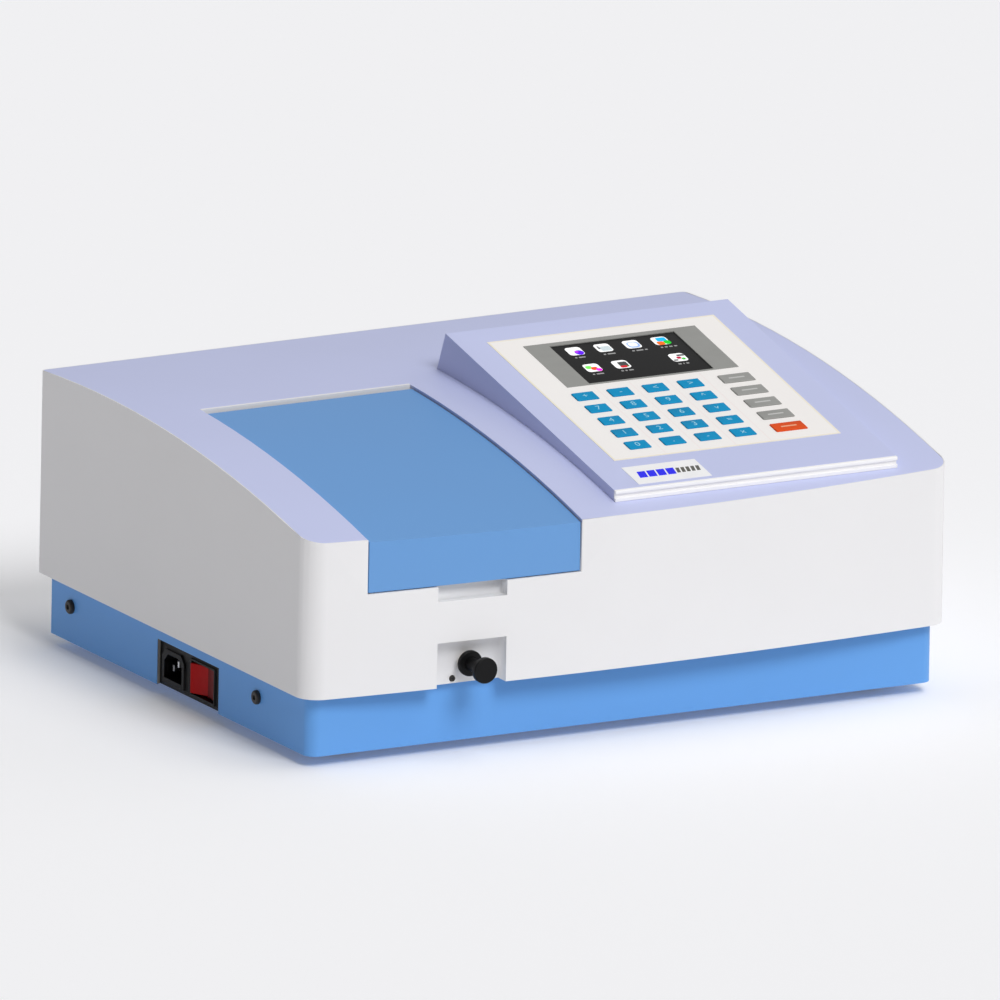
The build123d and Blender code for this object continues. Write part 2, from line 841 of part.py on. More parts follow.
# ---- membrane panel, display and name plate ----
key_layout = [(column_x, row_y, key_size) for row_y in key_rows for column_x in key_columns]
function_layout = [(function_column, row_y, function_size) for row_y in key_rows]


def key_span(x, y, size):
    """A key's rectangle on the console's face."""
    return (x - size[0] / 2, y - size[1] / 2, x + size[0] / 2, y + size[1] / 2)


with BuildPart() as membrane_panel:
    slab(panel_span, -panel_recess, panel_proud)
    slab(bezel_span, -panel_recess - over, panel_proud + over, Mode.SUBTRACT, seat_gap)
    for key in key_layout + function_layout:
        slab(
            key_span(*key),
            -panel_recess - over,
            panel_proud + over,
            Mode.SUBTRACT,
            key_gap,
            key_corner + key_gap,
        )
finish(membrane_panel, "membrane_panel")

with BuildPart() as lcd_bezel:
    slab(bezel_span, -panel_recess, bezel_proud)
    slab(screen_span, -panel_recess - over, bezel_proud + over, Mode.SUBTRACT)
finish(lcd_bezel, "lcd_bezel")

with BuildPart() as lcd_module:
    slab(screen_span, -console_wall - seat_gap, -screen_sunk, grow=-seat_gap)
    slab(screen_span, -screen_body_depth, -console_wall - seat_gap, grow=screen_body_margin)
finish(lcd_module, "lcd_module")

with BuildPart() as name_plate:
    slab(plate_span, -plate_recess, plate_proud)
finish(name_plate, "name_plate")

# ---- keyboard circuit board, with a dome switch under each key ----
with BuildPart() as keyboard_board:
    slab(board_span, board_bottom, board_top)
    with BuildSketch(console_face(board_top)):
        with Locations(*[(x, y) for x, y, size in key_layout + function_layout]):
            Circle(dome_radius)
    extrude(amount=dome_top - board_top)
finish(keyboard_board, "keyboard_board")


def key_cap(x, y, size, name):
    """One key: its cap, the flange that keeps it under the panel, and its foot."""
    span = key_span(x, y, size)
    with BuildPart() as key:
        slab(span, key_flange_top, key_proud, corner=key_corner)
        top = key.faces().sort_by(Axis(origin=(0, 0, 0), direction=console_face().z_dir))[-1]
        chamfer(top.edges(), key_edge)
        slab(span, key_flange_bottom, key_flange_top, grow=key_flange)
        with BuildSketch(console_face(key_foot)):
            with Locations((x, y)):
                Circle(key_foot_radius)
        extrude(amount=key_flange_bottom - key_foot)
    finish(key, name)


for row, row_y in enumerate(key_rows):
    for number, column_x in enumerate(key_columns):
        key_cap(column_x, row_y, key_size, f"key_r{row + 1}_c{number + 1}")
    key_cap(function_column, row_y, function_size, f"key_f{row + 1}")

# ---- casing screws: two in each side of the tray ----
with BuildPart() as casing_screws:
    skin = left + tray_inset
    for depth in screw_depths:
        for side in (1, -1):
            y = front + depth
            z = tray_z + screw_height
            rod(screw_head_radius, (side * (skin - screw_head_height), y, z), (side * skin, y, z))
            rod(screw_shaft_radius, (side * skin, y, z), (side * (skin + screw_length), y, z))
            with BuildSketch(Plane(origin=(side * (skin - screw_head_height), y, z), z_dir=(side, 0, 0))):
                RegularPolygon(screw_socket_radius, 6)
            extrude(amount=screw_socket_depth, mode=Mode.SUBTRACT)
    rims = casing_screws.edges().filter_by(GeomType.CIRCLE)
    rims = rims.filter_by(lambda rim: abs(rim.center().X) > -skin + screw_head_height - screw_head_round)
    fillet(rims, screw_head_round)
finish(casing_screws, "casing_screws")

# ---- power inlet: the face plate, the switch's frame and the mains inlet ----
rocker_x = face_left + rocker_depth


def inlet_outline(grow):
    """The inlet's mouth: a rectangle whose two upper corners are cut off."""
    half = inlet_width / 2 + grow
    low = -inlet_height / 2 - grow
    high = inlet_height / 2 + grow
    with BuildLine() as outline:
        Polyline(
            (-half, low),
            (half, low),
            (half, high - inlet_chamfer),
            (half - inlet_chamfer, high),
            (inlet_chamfer - half, high),
            (-half, high - inlet_chamfer),
            (-half, low),
        )
    make_face(outline.edges())


with BuildPart() as power_inlet:
    block(
        (face_left, power_front - face_margin, face_low),
        (face_left + face_thickness, power_rear + face_margin, power_top + face_margin),
    )
    block(
        (face_left + face_thickness, power_front + face_margin, floor_z + tab_gap),
        (face_left + module_depth, power_rear - face_margin, power_top),
    )
    block(
        (face_left - switch_frame_proud, switch_y - switch_width / 2, switch_z - switch_height / 2),
        (face_left, switch_y + switch_width / 2, switch_z + switch_height / 2),
    )
    block(
        (
            face_left - switch_frame_proud - over,
            switch_y - switch_width / 2 + switch_frame,
            switch_z - switch_height / 2 + switch_frame,
        ),
        (
            face_left + rocker_well,
            switch_y + switch_width / 2 - switch_frame,
            switch_z + switch_height / 2 - switch_frame,
        ),
        Mode.SUBTRACT,
    )
    rod(
        rocker_pin_radius + running_gap,
        (rocker_x, switch_y, switch_z - switch_height / 2 - rocker_pin_end_gap),
        (rocker_x, switch_y, switch_z + switch_height / 2 + rocker_pin_end_gap),
        Mode.SUBTRACT,
    )
    with BuildSketch(Plane(origin=(face_left, inlet_y, inlet_z), x_dir=(0, 1, 0), z_dir=(1, 0, 0))) as rim:
        inlet_outline(inlet_rim)
    extrude(rim.sketch, amount=-inlet_rim_proud)
    with BuildSketch(
        Plane(origin=(face_left - inlet_rim_proud, inlet_y, inlet_z), x_dir=(0, 1, 0), z_dir=(1, 0, 0))
    ) as mouth:
        inlet_outline(0.0)
    extrude(mouth.sketch, amount=inlet_rim_proud + inlet_depth, mode=Mode.SUBTRACT)
    for dy, dz in inlet_pins:
        block(
            (
                face_left + inlet_depth - inlet_pin[0],
                inlet_y + dy - inlet_pin[1] / 2,
                inlet_z + dz - inlet_pin[2] / 2,
            ),
            (face_left + inlet_depth, inlet_y + dy + inlet_pin[1] / 2, inlet_z + dz + inlet_pin[2] / 2),
        )
finish(power_inlet, "power_inlet")

# ---- power rocker: it rests with its front half pressed in ----
with BuildPart() as power_rocker:
    half_width = switch_width / 2 - switch_frame - rocker_gap
    half_height = switch_height / 2 - switch_frame - rocker_gap
    with BuildSketch(Plane(origin=(rocker_x, switch_y, switch_z - half_height)).rotated((0, 0, rocker_tilt))):
        with BuildLine():
            Polyline(
                (-rocker_edge, half_width),
                (-rocker_middle, 0),
                (-rocker_edge, -half_width),
                (rocker_back / 2, -half_width),
                (rocker_back, 0),
                (rocker_back / 2, half_width),
                (-rocker_edge, half_width),
            )
        make_face()
    extrude(amount=2 * half_height)
    rod(
        rocker_pin_radius,
        (rocker_x, switch_y, switch_z - half_height - rocker_pin_reach),
        (rocker_x, switch_y, switch_z + half_height + rocker_pin_reach),
    )
finish(power_rocker, "power_rocker")

# ---- optical bench: the cast plate that carries the optics, with the mirror's post ----
with BuildPart() as optical_bench:
    block((bench_span[0], bench_span[1], bench_low), (bench_span[2], bench_span[3], bench_high))
    rod(mirror_sleeve_radius, (*mirror_at, bench_high), (*mirror_at, beam_z - mirror_sleeve_length / 2))
    rod(mirror_post_radius, (*mirror_at, bench_high), (*mirror_at, beam_z + mirror_sleeve_length / 2 + over))
finish(optical_bench, "optical_bench")

# ---- monochromator case: a box with two slits, a bore for the turret and a pin for the wheel ----
with BuildPart() as monochromator_case:
    block((case_span[0], case_span[1], bench_high), (case_span[2], case_span[3], case_high))
    block(
        (case_span[0] + case_wall, case_span[1] + case_wall, bench_high + case_wall),
        (case_span[2] - case_wall, case_span[3] - case_wall, case_high - case_wall),
        Mode.SUBTRACT,
    )
    block(
        (case_span[0] - over, beam_y - slit_size[0] / 2, beam_z - slit_size[1] / 2),
        (case_span[0] + case_wall + over, beam_y + slit_size[0] / 2, beam_z + slit_size[1] / 2),
        Mode.SUBTRACT,
    )
    block(
        (slit_x - slit_size[0] / 2, case_span[3] - case_wall - over, beam_z - slit_size[1] / 2),
        (slit_x + slit_size[0] / 2, case_span[3] + over, beam_z + slit_size[1] / 2),
        Mode.SUBTRACT,
    )
    rod(
        turret_shaft_radius + running_gap,
        (*turret_at, bench_high - over),
        (*turret_at, bench_high + case_wall + over),
        Mode.SUBTRACT,
    )
    rod(wheel_pin_radius, (wheel_x, case_span[3], beam_z), (wheel_x, case_span[3] + wheel_pin_length, beam_z))
finish(monochromator_case, "monochromator_case")

# ---- grating turret ----
with BuildPart() as grating_turret:
    grating_low = beam_z - grating_size[2] / 2
    rod(turret_shaft_radius, (*turret_at, bench_high + running_gap), (*turret_at, grating_low))
    rod(turret_radius, (*turret_at, grating_low - turret_disc), (*turret_at, grating_low))
    with Locations((*turret_at, beam_z)):
        Box(*grating_size)
finish(grating_turret, "grating_turret")

# ---- filter wheel, on the case's pin, with its holes crossing the slit ----
with BuildPart() as filter_wheel:
    rod(wheel_radius, (wheel_x, wheel_y, beam_z), (wheel_x, wheel_y + wheel_thickness, beam_z))
    rod(
        wheel_hub_radius,
        (wheel_x, wheel_y - wheel_hub_length / 2, beam_z),
        (wheel_x, wheel_y + wheel_thickness, beam_z),
    )
    with BuildSketch(Plane(origin=(wheel_x, wheel_y - over, beam_z), x_dir=(1, 0, 0), z_dir=(0, 1, 0))):
        with PolarLocations(wheel_hole_ring, wheel_holes):
            Circle(wheel_hole_radius)
    extrude(amount=wheel_thickness + 2 * over, mode=Mode.SUBTRACT)
    rod(
        wheel_pin_radius + running_gap,
        (wheel_x, wheel_y - wheel_hub_length, beam_z),
        (wheel_x, wheel_y + wheel_thickness + over, beam_z),
        Mode.SUBTRACT,
    )
finish(filter_wheel, "filter_wheel")

# ---- source mirror, which turns to choose between the two lamps ----
with BuildPart() as source_mirror:
    rod(
        mirror_sleeve_radius,
        (*mirror_at, beam_z - mirror_sleeve_length / 2 + running_gap),
        (*mirror_at, beam_z + mirror_sleeve_length / 2),
    )
    mirror_y = mirror_at[1] - mirror_sleeve_radius - mirror_size[1] / 2 + mirror_seat
    with Locations((mirror_at[0], mirror_y, beam_z)):
        Box(*mirror_size)
    rod(
        mirror_post_radius + running_gap,
        (*mirror_at, beam_z - mirror_sleeve_length / 2 - over),
        (*mirror_at, beam_z + mirror_sleeve_length / 2 + over),
        Mode.SUBTRACT,
    )
finish(source_mirror, "source_mirror")


def lamp(at, sizes, name):
    """A lamp: its round base with the bulb standing in it."""
    base_radius, base_height, bulb_radius, height = sizes
    with BuildPart() as body:
        rod(base_radius, (*at, bench_high), (*at, bench_high + base_height))
        rod(bulb_radius, (*at, bench_high + base_height), (*at, bench_high + height))
        fillet(body.edges().group_by(Axis.Z)[-1], bulb_radius * bulb_round)
    finish(body, name)


lamp(deuterium_at, deuterium_sizes, "deuterium_lamp")
lamp(halogen_at, halogen_sizes, "halogen_lamp")

# ---- detector on its leg, left of the chamber ----
with BuildPart() as detector_module:
    block(
        (detector_x[0], beam_y - detector_size[0] / 2, beam_z - detector_size[1] / 2),
        (detector_x[1], beam_y + detector_size[0] / 2, beam_z + detector_size[1] / 2),
    )
    leg_middle = sum(detector_x) / 2
    block(
        (leg_middle - detector_leg / 2, beam_y - detector_leg / 2, floor_z),
        (leg_middle + detector_leg / 2, beam_y + detector_leg / 2, beam_z - detector_size[1] / 2),
    )
finish(detector_module, "detector_module")

# ---- power supply and main board ----
with BuildPart() as power_supply:
    block(
        (supply_span[0], supply_span[1], bench_high),
        (supply_span[2], supply_span[3], bench_high + supply_height),
    )
finish(power_supply, "power_supply")

with BuildPart() as main_board:
    x0, y0, x1, y1 = main_board_span
    board_face = board_low + main_board_thickness
    block((x0, y0, board_low), (x1, y1, board_face))
    for x in (x0 + main_post_inset, x1 - main_post_inset):
        for y in (y0 + main_post_inset, y1 - main_post_inset):
            rod(main_post_radius, (x, y, bench_high), (x, y, board_low))
    for number, (width, depth, height) in enumerate(part_sizes):
        y = y0 + part_start + number * part_pitch
        with Locations(((x0 + x1) / 2, y, board_face + height / 2)):
            Box(width, depth, height)
finish(main_board, "main_board")

# ---- cooling fan: its frame with three struts, and the rotor ----
fan_back = rear - casing_wall
fan_front = fan_back - fan_depth
with BuildPart() as fan_frame:
    block(
        (fan_x - fan_size / 2, fan_front, fan_z - fan_size / 2),
        (fan_x + fan_size / 2, fan_back, fan_z + fan_size / 2),
    )
    rod(fan_bore, (fan_x, fan_front - over, fan_z), (fan_x, fan_back + over, fan_z), Mode.SUBTRACT)
    rod(fan_hub, (fan_x, fan_back - fan_plate, fan_z), (fan_x, fan_back, fan_z))
    with BuildSketch(Plane(origin=(fan_x, fan_back, fan_z), x_dir=(1, 0, 0), z_dir=(0, -1, 0))):
        with PolarLocations((fan_hub + fan_bore) / 2, fan_struts):
            Rectangle(fan_bore - fan_hub + 2 * fan_root, fan_strut_width)
    extrude(amount=fan_plate)
    rod(
        fan_pin_radius,
        (fan_x, fan_front + fan_plate, fan_z),
        (fan_x, fan_back - fan_plate, fan_z),
    )
finish(fan_frame, "fan_frame")

with BuildPart() as fan_rotor:
    rod(
        fan_hub,
        (fan_x, fan_front + fan_root, fan_z),
        (fan_x, fan_back - fan_plate - fan_hub_gap, fan_z),
    )
    with BuildSketch(Plane(origin=(fan_x, fan_front + fan_plate, fan_z), x_dir=(1, 0, 0), z_dir=(0, 1, 0))):
        with PolarLocations((fan_hub + fan_blade_reach - fan_root) / 2, fan_blades):
            Rectangle(fan_blade_reach - fan_hub + fan_root, fan_blade_thickness, rotation=fan_blade_twist)
    extrude(amount=fan_blade_length)
    rod(
        fan_pin_radius + running_gap,
        (fan_x, fan_front, fan_z),
        (fan_x, fan_back, fan_z),
        Mode.SUBTRACT,
    )
finish(fan_rotor, "fan_rotor")
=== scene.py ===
# %% [markdown]
# # A bench spectrophotometer
# The instrument is a wide, low casing with a gently arched roof. On the left a blue lid covers the
# sample compartment, and a black knob on a rod pulls the cell carriage along under it. On the right a
# raised console carries a screen and 25 keys. The frame below brings in every solid piece at its real
# place. What is left to do here is what the eye sees: soft moulded edges, surfaces and print.

# %% The frame
import json
import math

import bmesh
import bpy
from mathutils import Matrix, Vector


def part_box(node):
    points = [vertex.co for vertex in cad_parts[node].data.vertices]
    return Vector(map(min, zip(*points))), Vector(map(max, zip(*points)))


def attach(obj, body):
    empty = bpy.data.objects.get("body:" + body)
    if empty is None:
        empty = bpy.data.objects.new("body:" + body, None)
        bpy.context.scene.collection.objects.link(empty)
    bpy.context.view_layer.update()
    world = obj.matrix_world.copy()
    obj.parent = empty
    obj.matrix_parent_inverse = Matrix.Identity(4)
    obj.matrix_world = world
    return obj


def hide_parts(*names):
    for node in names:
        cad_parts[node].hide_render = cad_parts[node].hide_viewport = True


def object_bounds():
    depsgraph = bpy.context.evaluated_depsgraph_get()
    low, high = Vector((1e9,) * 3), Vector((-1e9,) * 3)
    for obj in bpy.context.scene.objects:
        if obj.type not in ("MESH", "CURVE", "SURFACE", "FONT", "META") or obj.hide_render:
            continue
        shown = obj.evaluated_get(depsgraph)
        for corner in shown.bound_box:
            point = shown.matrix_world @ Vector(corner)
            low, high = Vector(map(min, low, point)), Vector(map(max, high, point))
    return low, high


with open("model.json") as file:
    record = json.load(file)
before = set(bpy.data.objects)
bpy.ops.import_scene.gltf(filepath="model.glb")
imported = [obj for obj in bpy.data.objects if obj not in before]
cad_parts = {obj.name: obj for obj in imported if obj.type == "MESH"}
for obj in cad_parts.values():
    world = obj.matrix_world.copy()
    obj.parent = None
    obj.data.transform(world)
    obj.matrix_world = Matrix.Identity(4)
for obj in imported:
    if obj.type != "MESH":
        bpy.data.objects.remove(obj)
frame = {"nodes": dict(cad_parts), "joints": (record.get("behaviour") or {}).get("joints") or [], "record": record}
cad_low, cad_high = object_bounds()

nodes = frame["nodes"]
scene = bpy.context.scene
mm = 0.001

# %% [markdown]
# ## The camera
# The instrument is seen from its front left corner and a little above, with no perspective at all:
# its long edges stay parallel. An orthographic camera gives that. Its turn, rise and roll are set
# first, because every later choice of light and edge is judged from here.

# %% The camera
view_turn = math.radians(-28.826)
view_rise = math.radians(14.794)
view_roll = math.radians(-1.030)
view_width = 0.678
view_distance = 6.0
aim_right = -3.25 * mm
aim_up = 10.27 * mm

view_x = Vector((math.cos(view_turn), math.sin(view_turn), 0))
view_z = Vector((
    math.sin(view_turn) * math.cos(view_rise),
    -math.cos(view_turn) * math.cos(view_rise),
    math.sin(view_rise),
))
view_y = view_z.cross(view_x)
aim = (cad_low + cad_high) / 2 + aim_right * view_x + aim_up * view_y

camera = bpy.data.objects.new("camera", bpy.data.cameras.new("camera"))
scene.collection.objects.link(camera)
camera.data.type = "ORTHO"
camera.data.ortho_scale = view_width
camera.data.clip_end = 100.0
turned = Matrix((view_x, view_y, view_z)).transposed() @ Matrix.Rotation(-view_roll, 3, "Z")
camera.matrix_world = Matrix.Translation(aim + view_distance * view_z) @ turned.to_4x4()
scene.camera = camera
print("camera aimed at", [round(value, 4) for value in aim])

# %% [markdown]
# ## Writing shaders as sums
# A material is a tree of small nodes. Linking them one by one hides the idea, so this class wraps a
# socket: `cloud * 0.2 + 0.4` adds the two Math nodes that it says, and `node` makes any other kind.
# Colours never go through Math nodes, which would turn them grey. They are mixed.

# %% A socket that can be added and multiplied
class Wire:
    """An output of a shader tree, or the bare tree when it has no socket."""

    def __init__(self, tree, socket=None):
        self.tree = tree
        self.socket = socket

    def feed(self, socket, value):
        """Links a wire to a socket, or sets a plain value on it."""
        if isinstance(value, Wire):
            self.tree.links.new(value.socket, socket)
        else:
            socket.default_value = value

    def node(self, kind, settings=None, sockets=None, output=0):
        """Adds a node: its settings first, then its sockets. Gives back one of its outputs."""
        made = self.tree.nodes.new(kind if "Node" in kind else "ShaderNode" + kind)
        for name, value in (settings or {}).items():
            setattr(made, name, value)
        for name, value in (sockets or {}).items():
            self.feed(made.inputs[name], value)
        return Wire(self.tree, made.outputs[output])

    def other(self, output):
        """Another output of the node that this wire comes from."""
        return Wire(self.tree, self.socket.node.outputs[output])

    def maths(self, operation, first, second=0.0):
        return self.node("Math", {"operation": operation}, {0: first, 1: second})

    def mix(self, factor, first, second):
        """A colour that goes from first to second as factor goes from 0 to 1."""
        return self.node("Mix", {"data_type": "RGBA"}, {0: factor, 6: first, 7: second}, output=2)

    def axis(self, letter):
        """One coordinate of a place."""
        return self.node("SeparateXYZ", sockets={0: self}, output="XYZ".index(letter))

    def noise(self, size, detail=2.0, roughness=0.5):
        """A cloudy pattern from 0 to 1 whose patches are about size metres across."""
        sockets = {"Vector": self, "Scale": 1 / size, "Detail": detail, "Roughness": roughness}
        return self.node("TexNoise", sockets=sockets)

    def bump(self, depth, strength=1.0, under=None):
        """A surface direction from this height, which is worth depth metres at 1."""
        sockets = {"Strength": strength, "Distance": depth, "Height": self}
        if under:
            sockets["Normal"] = under
        return self.node("Bump", sockets=sockets)

    def __add__(self, other):
        return self.maths("ADD", self, other)

    def __radd__(self, other):
        return self.maths("ADD", other, self)

    def __sub__(self, other):
        return self.maths("SUBTRACT", self, other)

    def __rsub__(self, other):
        return self.maths("SUBTRACT", other, self)

    def __mul__(self, other):
        return self.maths("MULTIPLY", self, other)

    def __rmul__(self, other):
        return self.maths("MULTIPLY", other, self)

    def __truediv__(self, other):
        return self.maths("DIVIDE", self, other)

    def __gt__(self, other):
        return self.maths("GREATER_THAN", self, other)

    def __lt__(self, other):
        return self.maths("LESS_THAN", self, other)

    def __abs__(self):
        return self.maths("ABSOLUTE", self)


def tint(red, green, blue, gain=1.0):
    """A screen colour of 0 to 255 as the light values that shaders use."""
    values = []
    for part in (red, green, blue):
        share = part / 255
        light = share / 12.92 if share <= 0.04045 else ((share + 0.055) / 1.055) ** 2.4
        values.append(min(1.0, light * gain))
    return (*values, 1.0)


def shade(colour, factor, lift=0.0):
    """The same colour, lighter or darker by this factor."""
    return tuple(min(1.0, part * factor + lift) for part in colour[:3]) + (1.0,)


def start_finish(name):
    """A new material. Gives it back with its shader and the place on the object."""
    material = bpy.data.materials.new(name)
    material.use_nodes = True
    tree = Wire(material.node_tree)
    return material, material.node_tree.nodes["Principled BSDF"], tree.node("TexCoord", output="Object")


def apply(surface, place, values):
    """Sets or links the named sockets of a shader."""
    for name, value in values.items():
        place.feed(surface.inputs[name], value)


print("shader sums are ready")

# %% [markdown]
# ## Light and floor
# Soft, even light suits pale covers. Here the roof and the front are equally bright, and the left
# side gets half as much. A soft sun from the front, half way up, lights both alike. A second, weaker
# one stands almost overhead. The sky only shines from the right, so the left side is left to the pale
# floor, which throws light back up at the walls as a studio table does.

# %% Light and floor
suns = {
    "front_sun": (Vector((0.0, -0.7, 0.7)), 1.57, math.radians(25)),
    "overhead_sun": (Vector((0.16, -0.16, 0.80)), 0.66, math.radians(32)),
}
sky_level = 0.15
sky_right = 0.66
floor_half = 30.0
floor_colour = (0.92, 0.92, 0.94, 1.0)
floor_shade = (0.915, 0.915, 0.935, 1.0)
floor_glow = 0.10

for name, (direction, power, softness) in suns.items():
    sun = bpy.data.objects.new(name, bpy.data.lights.new(name, "SUN"))
    sun.data.energy = power
    sun.data.angle = softness
    sun.rotation_euler = direction.to_track_quat("Z", "Y").to_euler()
    scene.collection.objects.link(sun)

world = bpy.data.worlds.new("studio")
world.use_nodes = True
scene.world = world
sky = Wire(world.node_tree)
look = sky.node("TexCoord", output="Generated")
level = sky_level + sky_right * look.maths("MAXIMUM", look.axis("X"), 0.0)
background = world.node_tree.nodes["Background"]
sky.feed(background.inputs["Strength"], level)
background.inputs["Color"].default_value = (1.0, 1.0, 1.0, 1.0)
scene.view_settings.view_transform = "Standard"

floor_work = bmesh.new()
bmesh.ops.create_grid(floor_work, x_segments=1, y_segments=1, size=floor_half)
floor_mesh = bpy.data.meshes.new("floor")
floor_work.to_mesh(floor_mesh)
floor_work.free()
floor = bpy.data.objects.new("floor", floor_mesh)
scene.collection.objects.link(floor)
floor_finish, floor_surface, floor_place = start_finish("pale_table")
apply(floor_surface, floor_place, {
    "Base Color": floor_place.mix(floor_place.noise(0.4), floor_colour, floor_shade),
    "Roughness": 0.9,
    "Specular IOR Level": 0.1,
    "Emission Color": (1.0, 1.0, 1.0, 1.0),
    "Emission Strength": floor_glow,
})
floor_mesh.materials.append(floor_finish)
print(len(suns), "suns and the floor are in place")

# %% [markdown]
# ## Moulded plastic
# The white, lavender and blue covers are moulded plastic. The mould is spark-eroded, so the surface
# has a grain of about a third of a millimetre, too shallow to see as relief but enough to break up a
# reflection. A very faint cloudiness keeps a large flat wall from looking like a plain fill.

# %% Moulded plastic
def moulded(name, colour, roughness=0.45, grain=0.012 * mm, cloud=0.03, gloss=0.35):
    """Injection-moulded plastic with a fine eroded grain."""
    material, surface, place = start_finish(name)
    clouds = place.noise(90 * mm, 3.0)
    speckle = place.noise(0.34 * mm, 2.0)
    pattern = clouds * 0.7 + speckle * 0.3
    apply(surface, place, {
        "Base Color": place.mix(pattern, shade(colour, 1 - cloud), shade(colour, 1 + cloud)),
        "Roughness": roughness - 0.05 + clouds * 0.06 + speckle * 0.05,
        "IOR": 1.49,
        "Specular IOR Level": gloss,
        "Normal": speckle.bump(grain, 0.6),
    })
    return material


finishes = {
    "white_plastic": moulded("white_plastic_finish", tint(236, 235, 236)),
    "lavender_plastic": moulded("lavender_plastic_finish", tint(199, 205, 240)),
    "blue_plastic": moulded("blue_plastic_finish", tint(106, 158, 216), 0.46, 0.008 * mm, 0.02),
    "white_trim": moulded("white_trim_finish", tint(252, 251, 251), 0.35, 0.005 * mm, 0.015),
    "black_plastic": moulded("black_plastic_finish", tint(14, 14, 15), 0.42, 0.02 * mm, 0.10, 0.18),
}
print("plastics:", ", ".join(finishes))

# %% [markdown]
# ## Paint on metal
# The base tray is folded steel with a powder coat. Powder melts into a skin with a soft ripple of one
# or two millimetres, called orange peel, so its bump is wider and rounder than the plastic's grain.
# The chamber and the optical housings inside are sprayed matt black to soak up stray light.

# %% Paint on metal
def painted(name, colour, roughness, peel=0.02 * mm, ripple=1.6 * mm, dust=0.04):
    """A powder coat: a rounded ripple, a slight change of depth and some gloss."""
    material, surface, place = start_finish(name)
    waves = place.noise(ripple, 1.0)
    patches = place.noise(60 * mm, 4.0)
    apply(surface, place, {
        "Base Color": place.mix(patches, colour, shade(colour, 1 + dust, dust * 0.02)),
        "Roughness": roughness + patches * 0.08 - 0.04,
        "IOR": 1.5,
        "Specular IOR Level": 0.2,
        "Normal": waves.bump(peel, 0.7),
    })
    return material


finishes["blue_paint"] = painted("blue_paint_finish", tint(104, 164, 231), 0.40)
finishes["black_paint"] = painted("black_paint_finish", tint(34, 34, 35), 0.72, 0.03 * mm, 0.8 * mm, 0.15)
finishes["black_steel"] = painted("black_steel_finish", tint(52, 50, 48), 0.38, 0.01 * mm, 0.5 * mm, 0.2)
print("paints: blue and black powder, blackened steel")

# %% [markdown]
# ## Bare metals
# Ground rod, rails and cover plates show fine scratches along one direction, which stretch a
# highlight. Stretching a noise pattern along that axis with a Mapping node draws them. The bench is a
# casting, so its surface is rough and grey, and the brass bush is turned on a lathe.

# %% Bare metals
def ground(name, colour, roughness, along="Y", scratch=0.15 * mm, depth=0.004 * mm):
    """Ground or turned metal whose fine scratches run along one axis."""
    material, surface, place = start_finish(name)
    stretch = [1.0, 1.0, 1.0]
    stretch["XYZ".index(along)] = 0.02
    turned_place = place.node("Mapping", sockets={"Vector": place, "Scale": stretch})
    lines = turned_place.noise(scratch, 3.0)
    wear = place.noise(25 * mm, 3.0)
    apply(surface, place, {
        "Base Color": place.mix(lines * 0.5 + wear * 0.5, shade(colour, 0.86), colour),
        "Metallic": 1.0,
        "Roughness": roughness + lines * 0.12 + wear * 0.06 - 0.08,
        "Normal": lines.bump(depth, 0.5),
    })
    return material


def cast_metal(name, colour):
    """A sand casting: coarse grain with shallow pits."""
    material, surface, place = start_finish(name)
    grain = place.noise(1.1 * mm, 4.0, 0.65)
    stain = place.noise(40 * mm, 3.0)
    apply(surface, place, {
        "Base Color": place.mix(stain * 0.6 + grain * 0.4, shade(colour, 0.7), colour),
        "Metallic": 0.9,
        "Roughness": 0.5 + grain * 0.2,
        "Normal": grain.bump(0.12 * mm, 0.8),
    })
    return material


def anodised(name, colour):
    """Black anodised aluminium: a dark skin over faint milling lines."""
    material, surface, place = start_finish(name)
    mill = place.node("Mapping", sockets={"Vector": place, "Scale": (1.0, 0.05, 1.0)}).noise(0.3 * mm, 2.0)
    worn = place.noise(12 * mm, 4.0)
    apply(surface, place, {
        "Base Color": place.mix(worn * 0.5 + mill * 0.3, colour, shade(colour, 1.9)),
        "Metallic": 0.35,
        "Roughness": 0.36 + mill * 0.14,
        "Normal": mill.bump(0.006 * mm, 0.6),
    })
    return material


finishes["bright_steel"] = ground("bright_steel_finish", (0.62, 0.62, 0.63, 1.0), 0.30)
finishes["brass_bush"] = ground("brass_finish", (0.72, 0.53, 0.24, 1.0), 0.28, "X")
finishes["cast_aluminium"] = cast_metal("cast_aluminium_finish", (0.56, 0.57, 0.58, 1.0))
finishes["black_anodised"] = anodised("anodised_finish", (0.022, 0.022, 0.026, 1.0))
print("metals: steel, brass, cast and anodised aluminium")

# %% [markdown]
# ## Rubber, keys and rocker
# The feet are dull rubber with a bloom of dust. The keys are thin printed polyester caps with a soft sheen. The
# rocker is a clear red moulding. Its front half is painted a deeper red than the rear half. That is painted shade,
# because the front half of its V faces away from the light.

# %% Rubber, keys and rocker
def rubber(name, colour):
    """Dull rubber with a dusty bloom."""
    material, surface, place = start_finish(name)
    bloom = place.noise(6 * mm, 4.0)
    grain = place.noise(0.5 * mm, 2.0)
    apply(surface, place, {
        "Base Color": place.mix(bloom, colour, shade(colour, 1.8)),
        "Roughness": 0.78 + bloom * 0.15,
        "Normal": grain.bump(0.03 * mm, 0.7),
    })
    return material


def key_film(name, colour):
    """A printed film cap: fine print dots, satin."""
    material, surface, place = start_finish(name)
    dots = place.noise(0.22 * mm, 1.0)
    drift = place.noise(14 * mm, 2.0)
    apply(surface, place, {
        "Base Color": place.mix(drift * 0.7 + dots * 0.3, shade(colour, 0.92), shade(colour, 1.07, 0.004)),
        "Roughness": 0.46 + dots * 0.10,
        "Specular IOR Level": 0.10,
        "Normal": dots.bump(0.006 * mm, 0.6),
    })
    return material


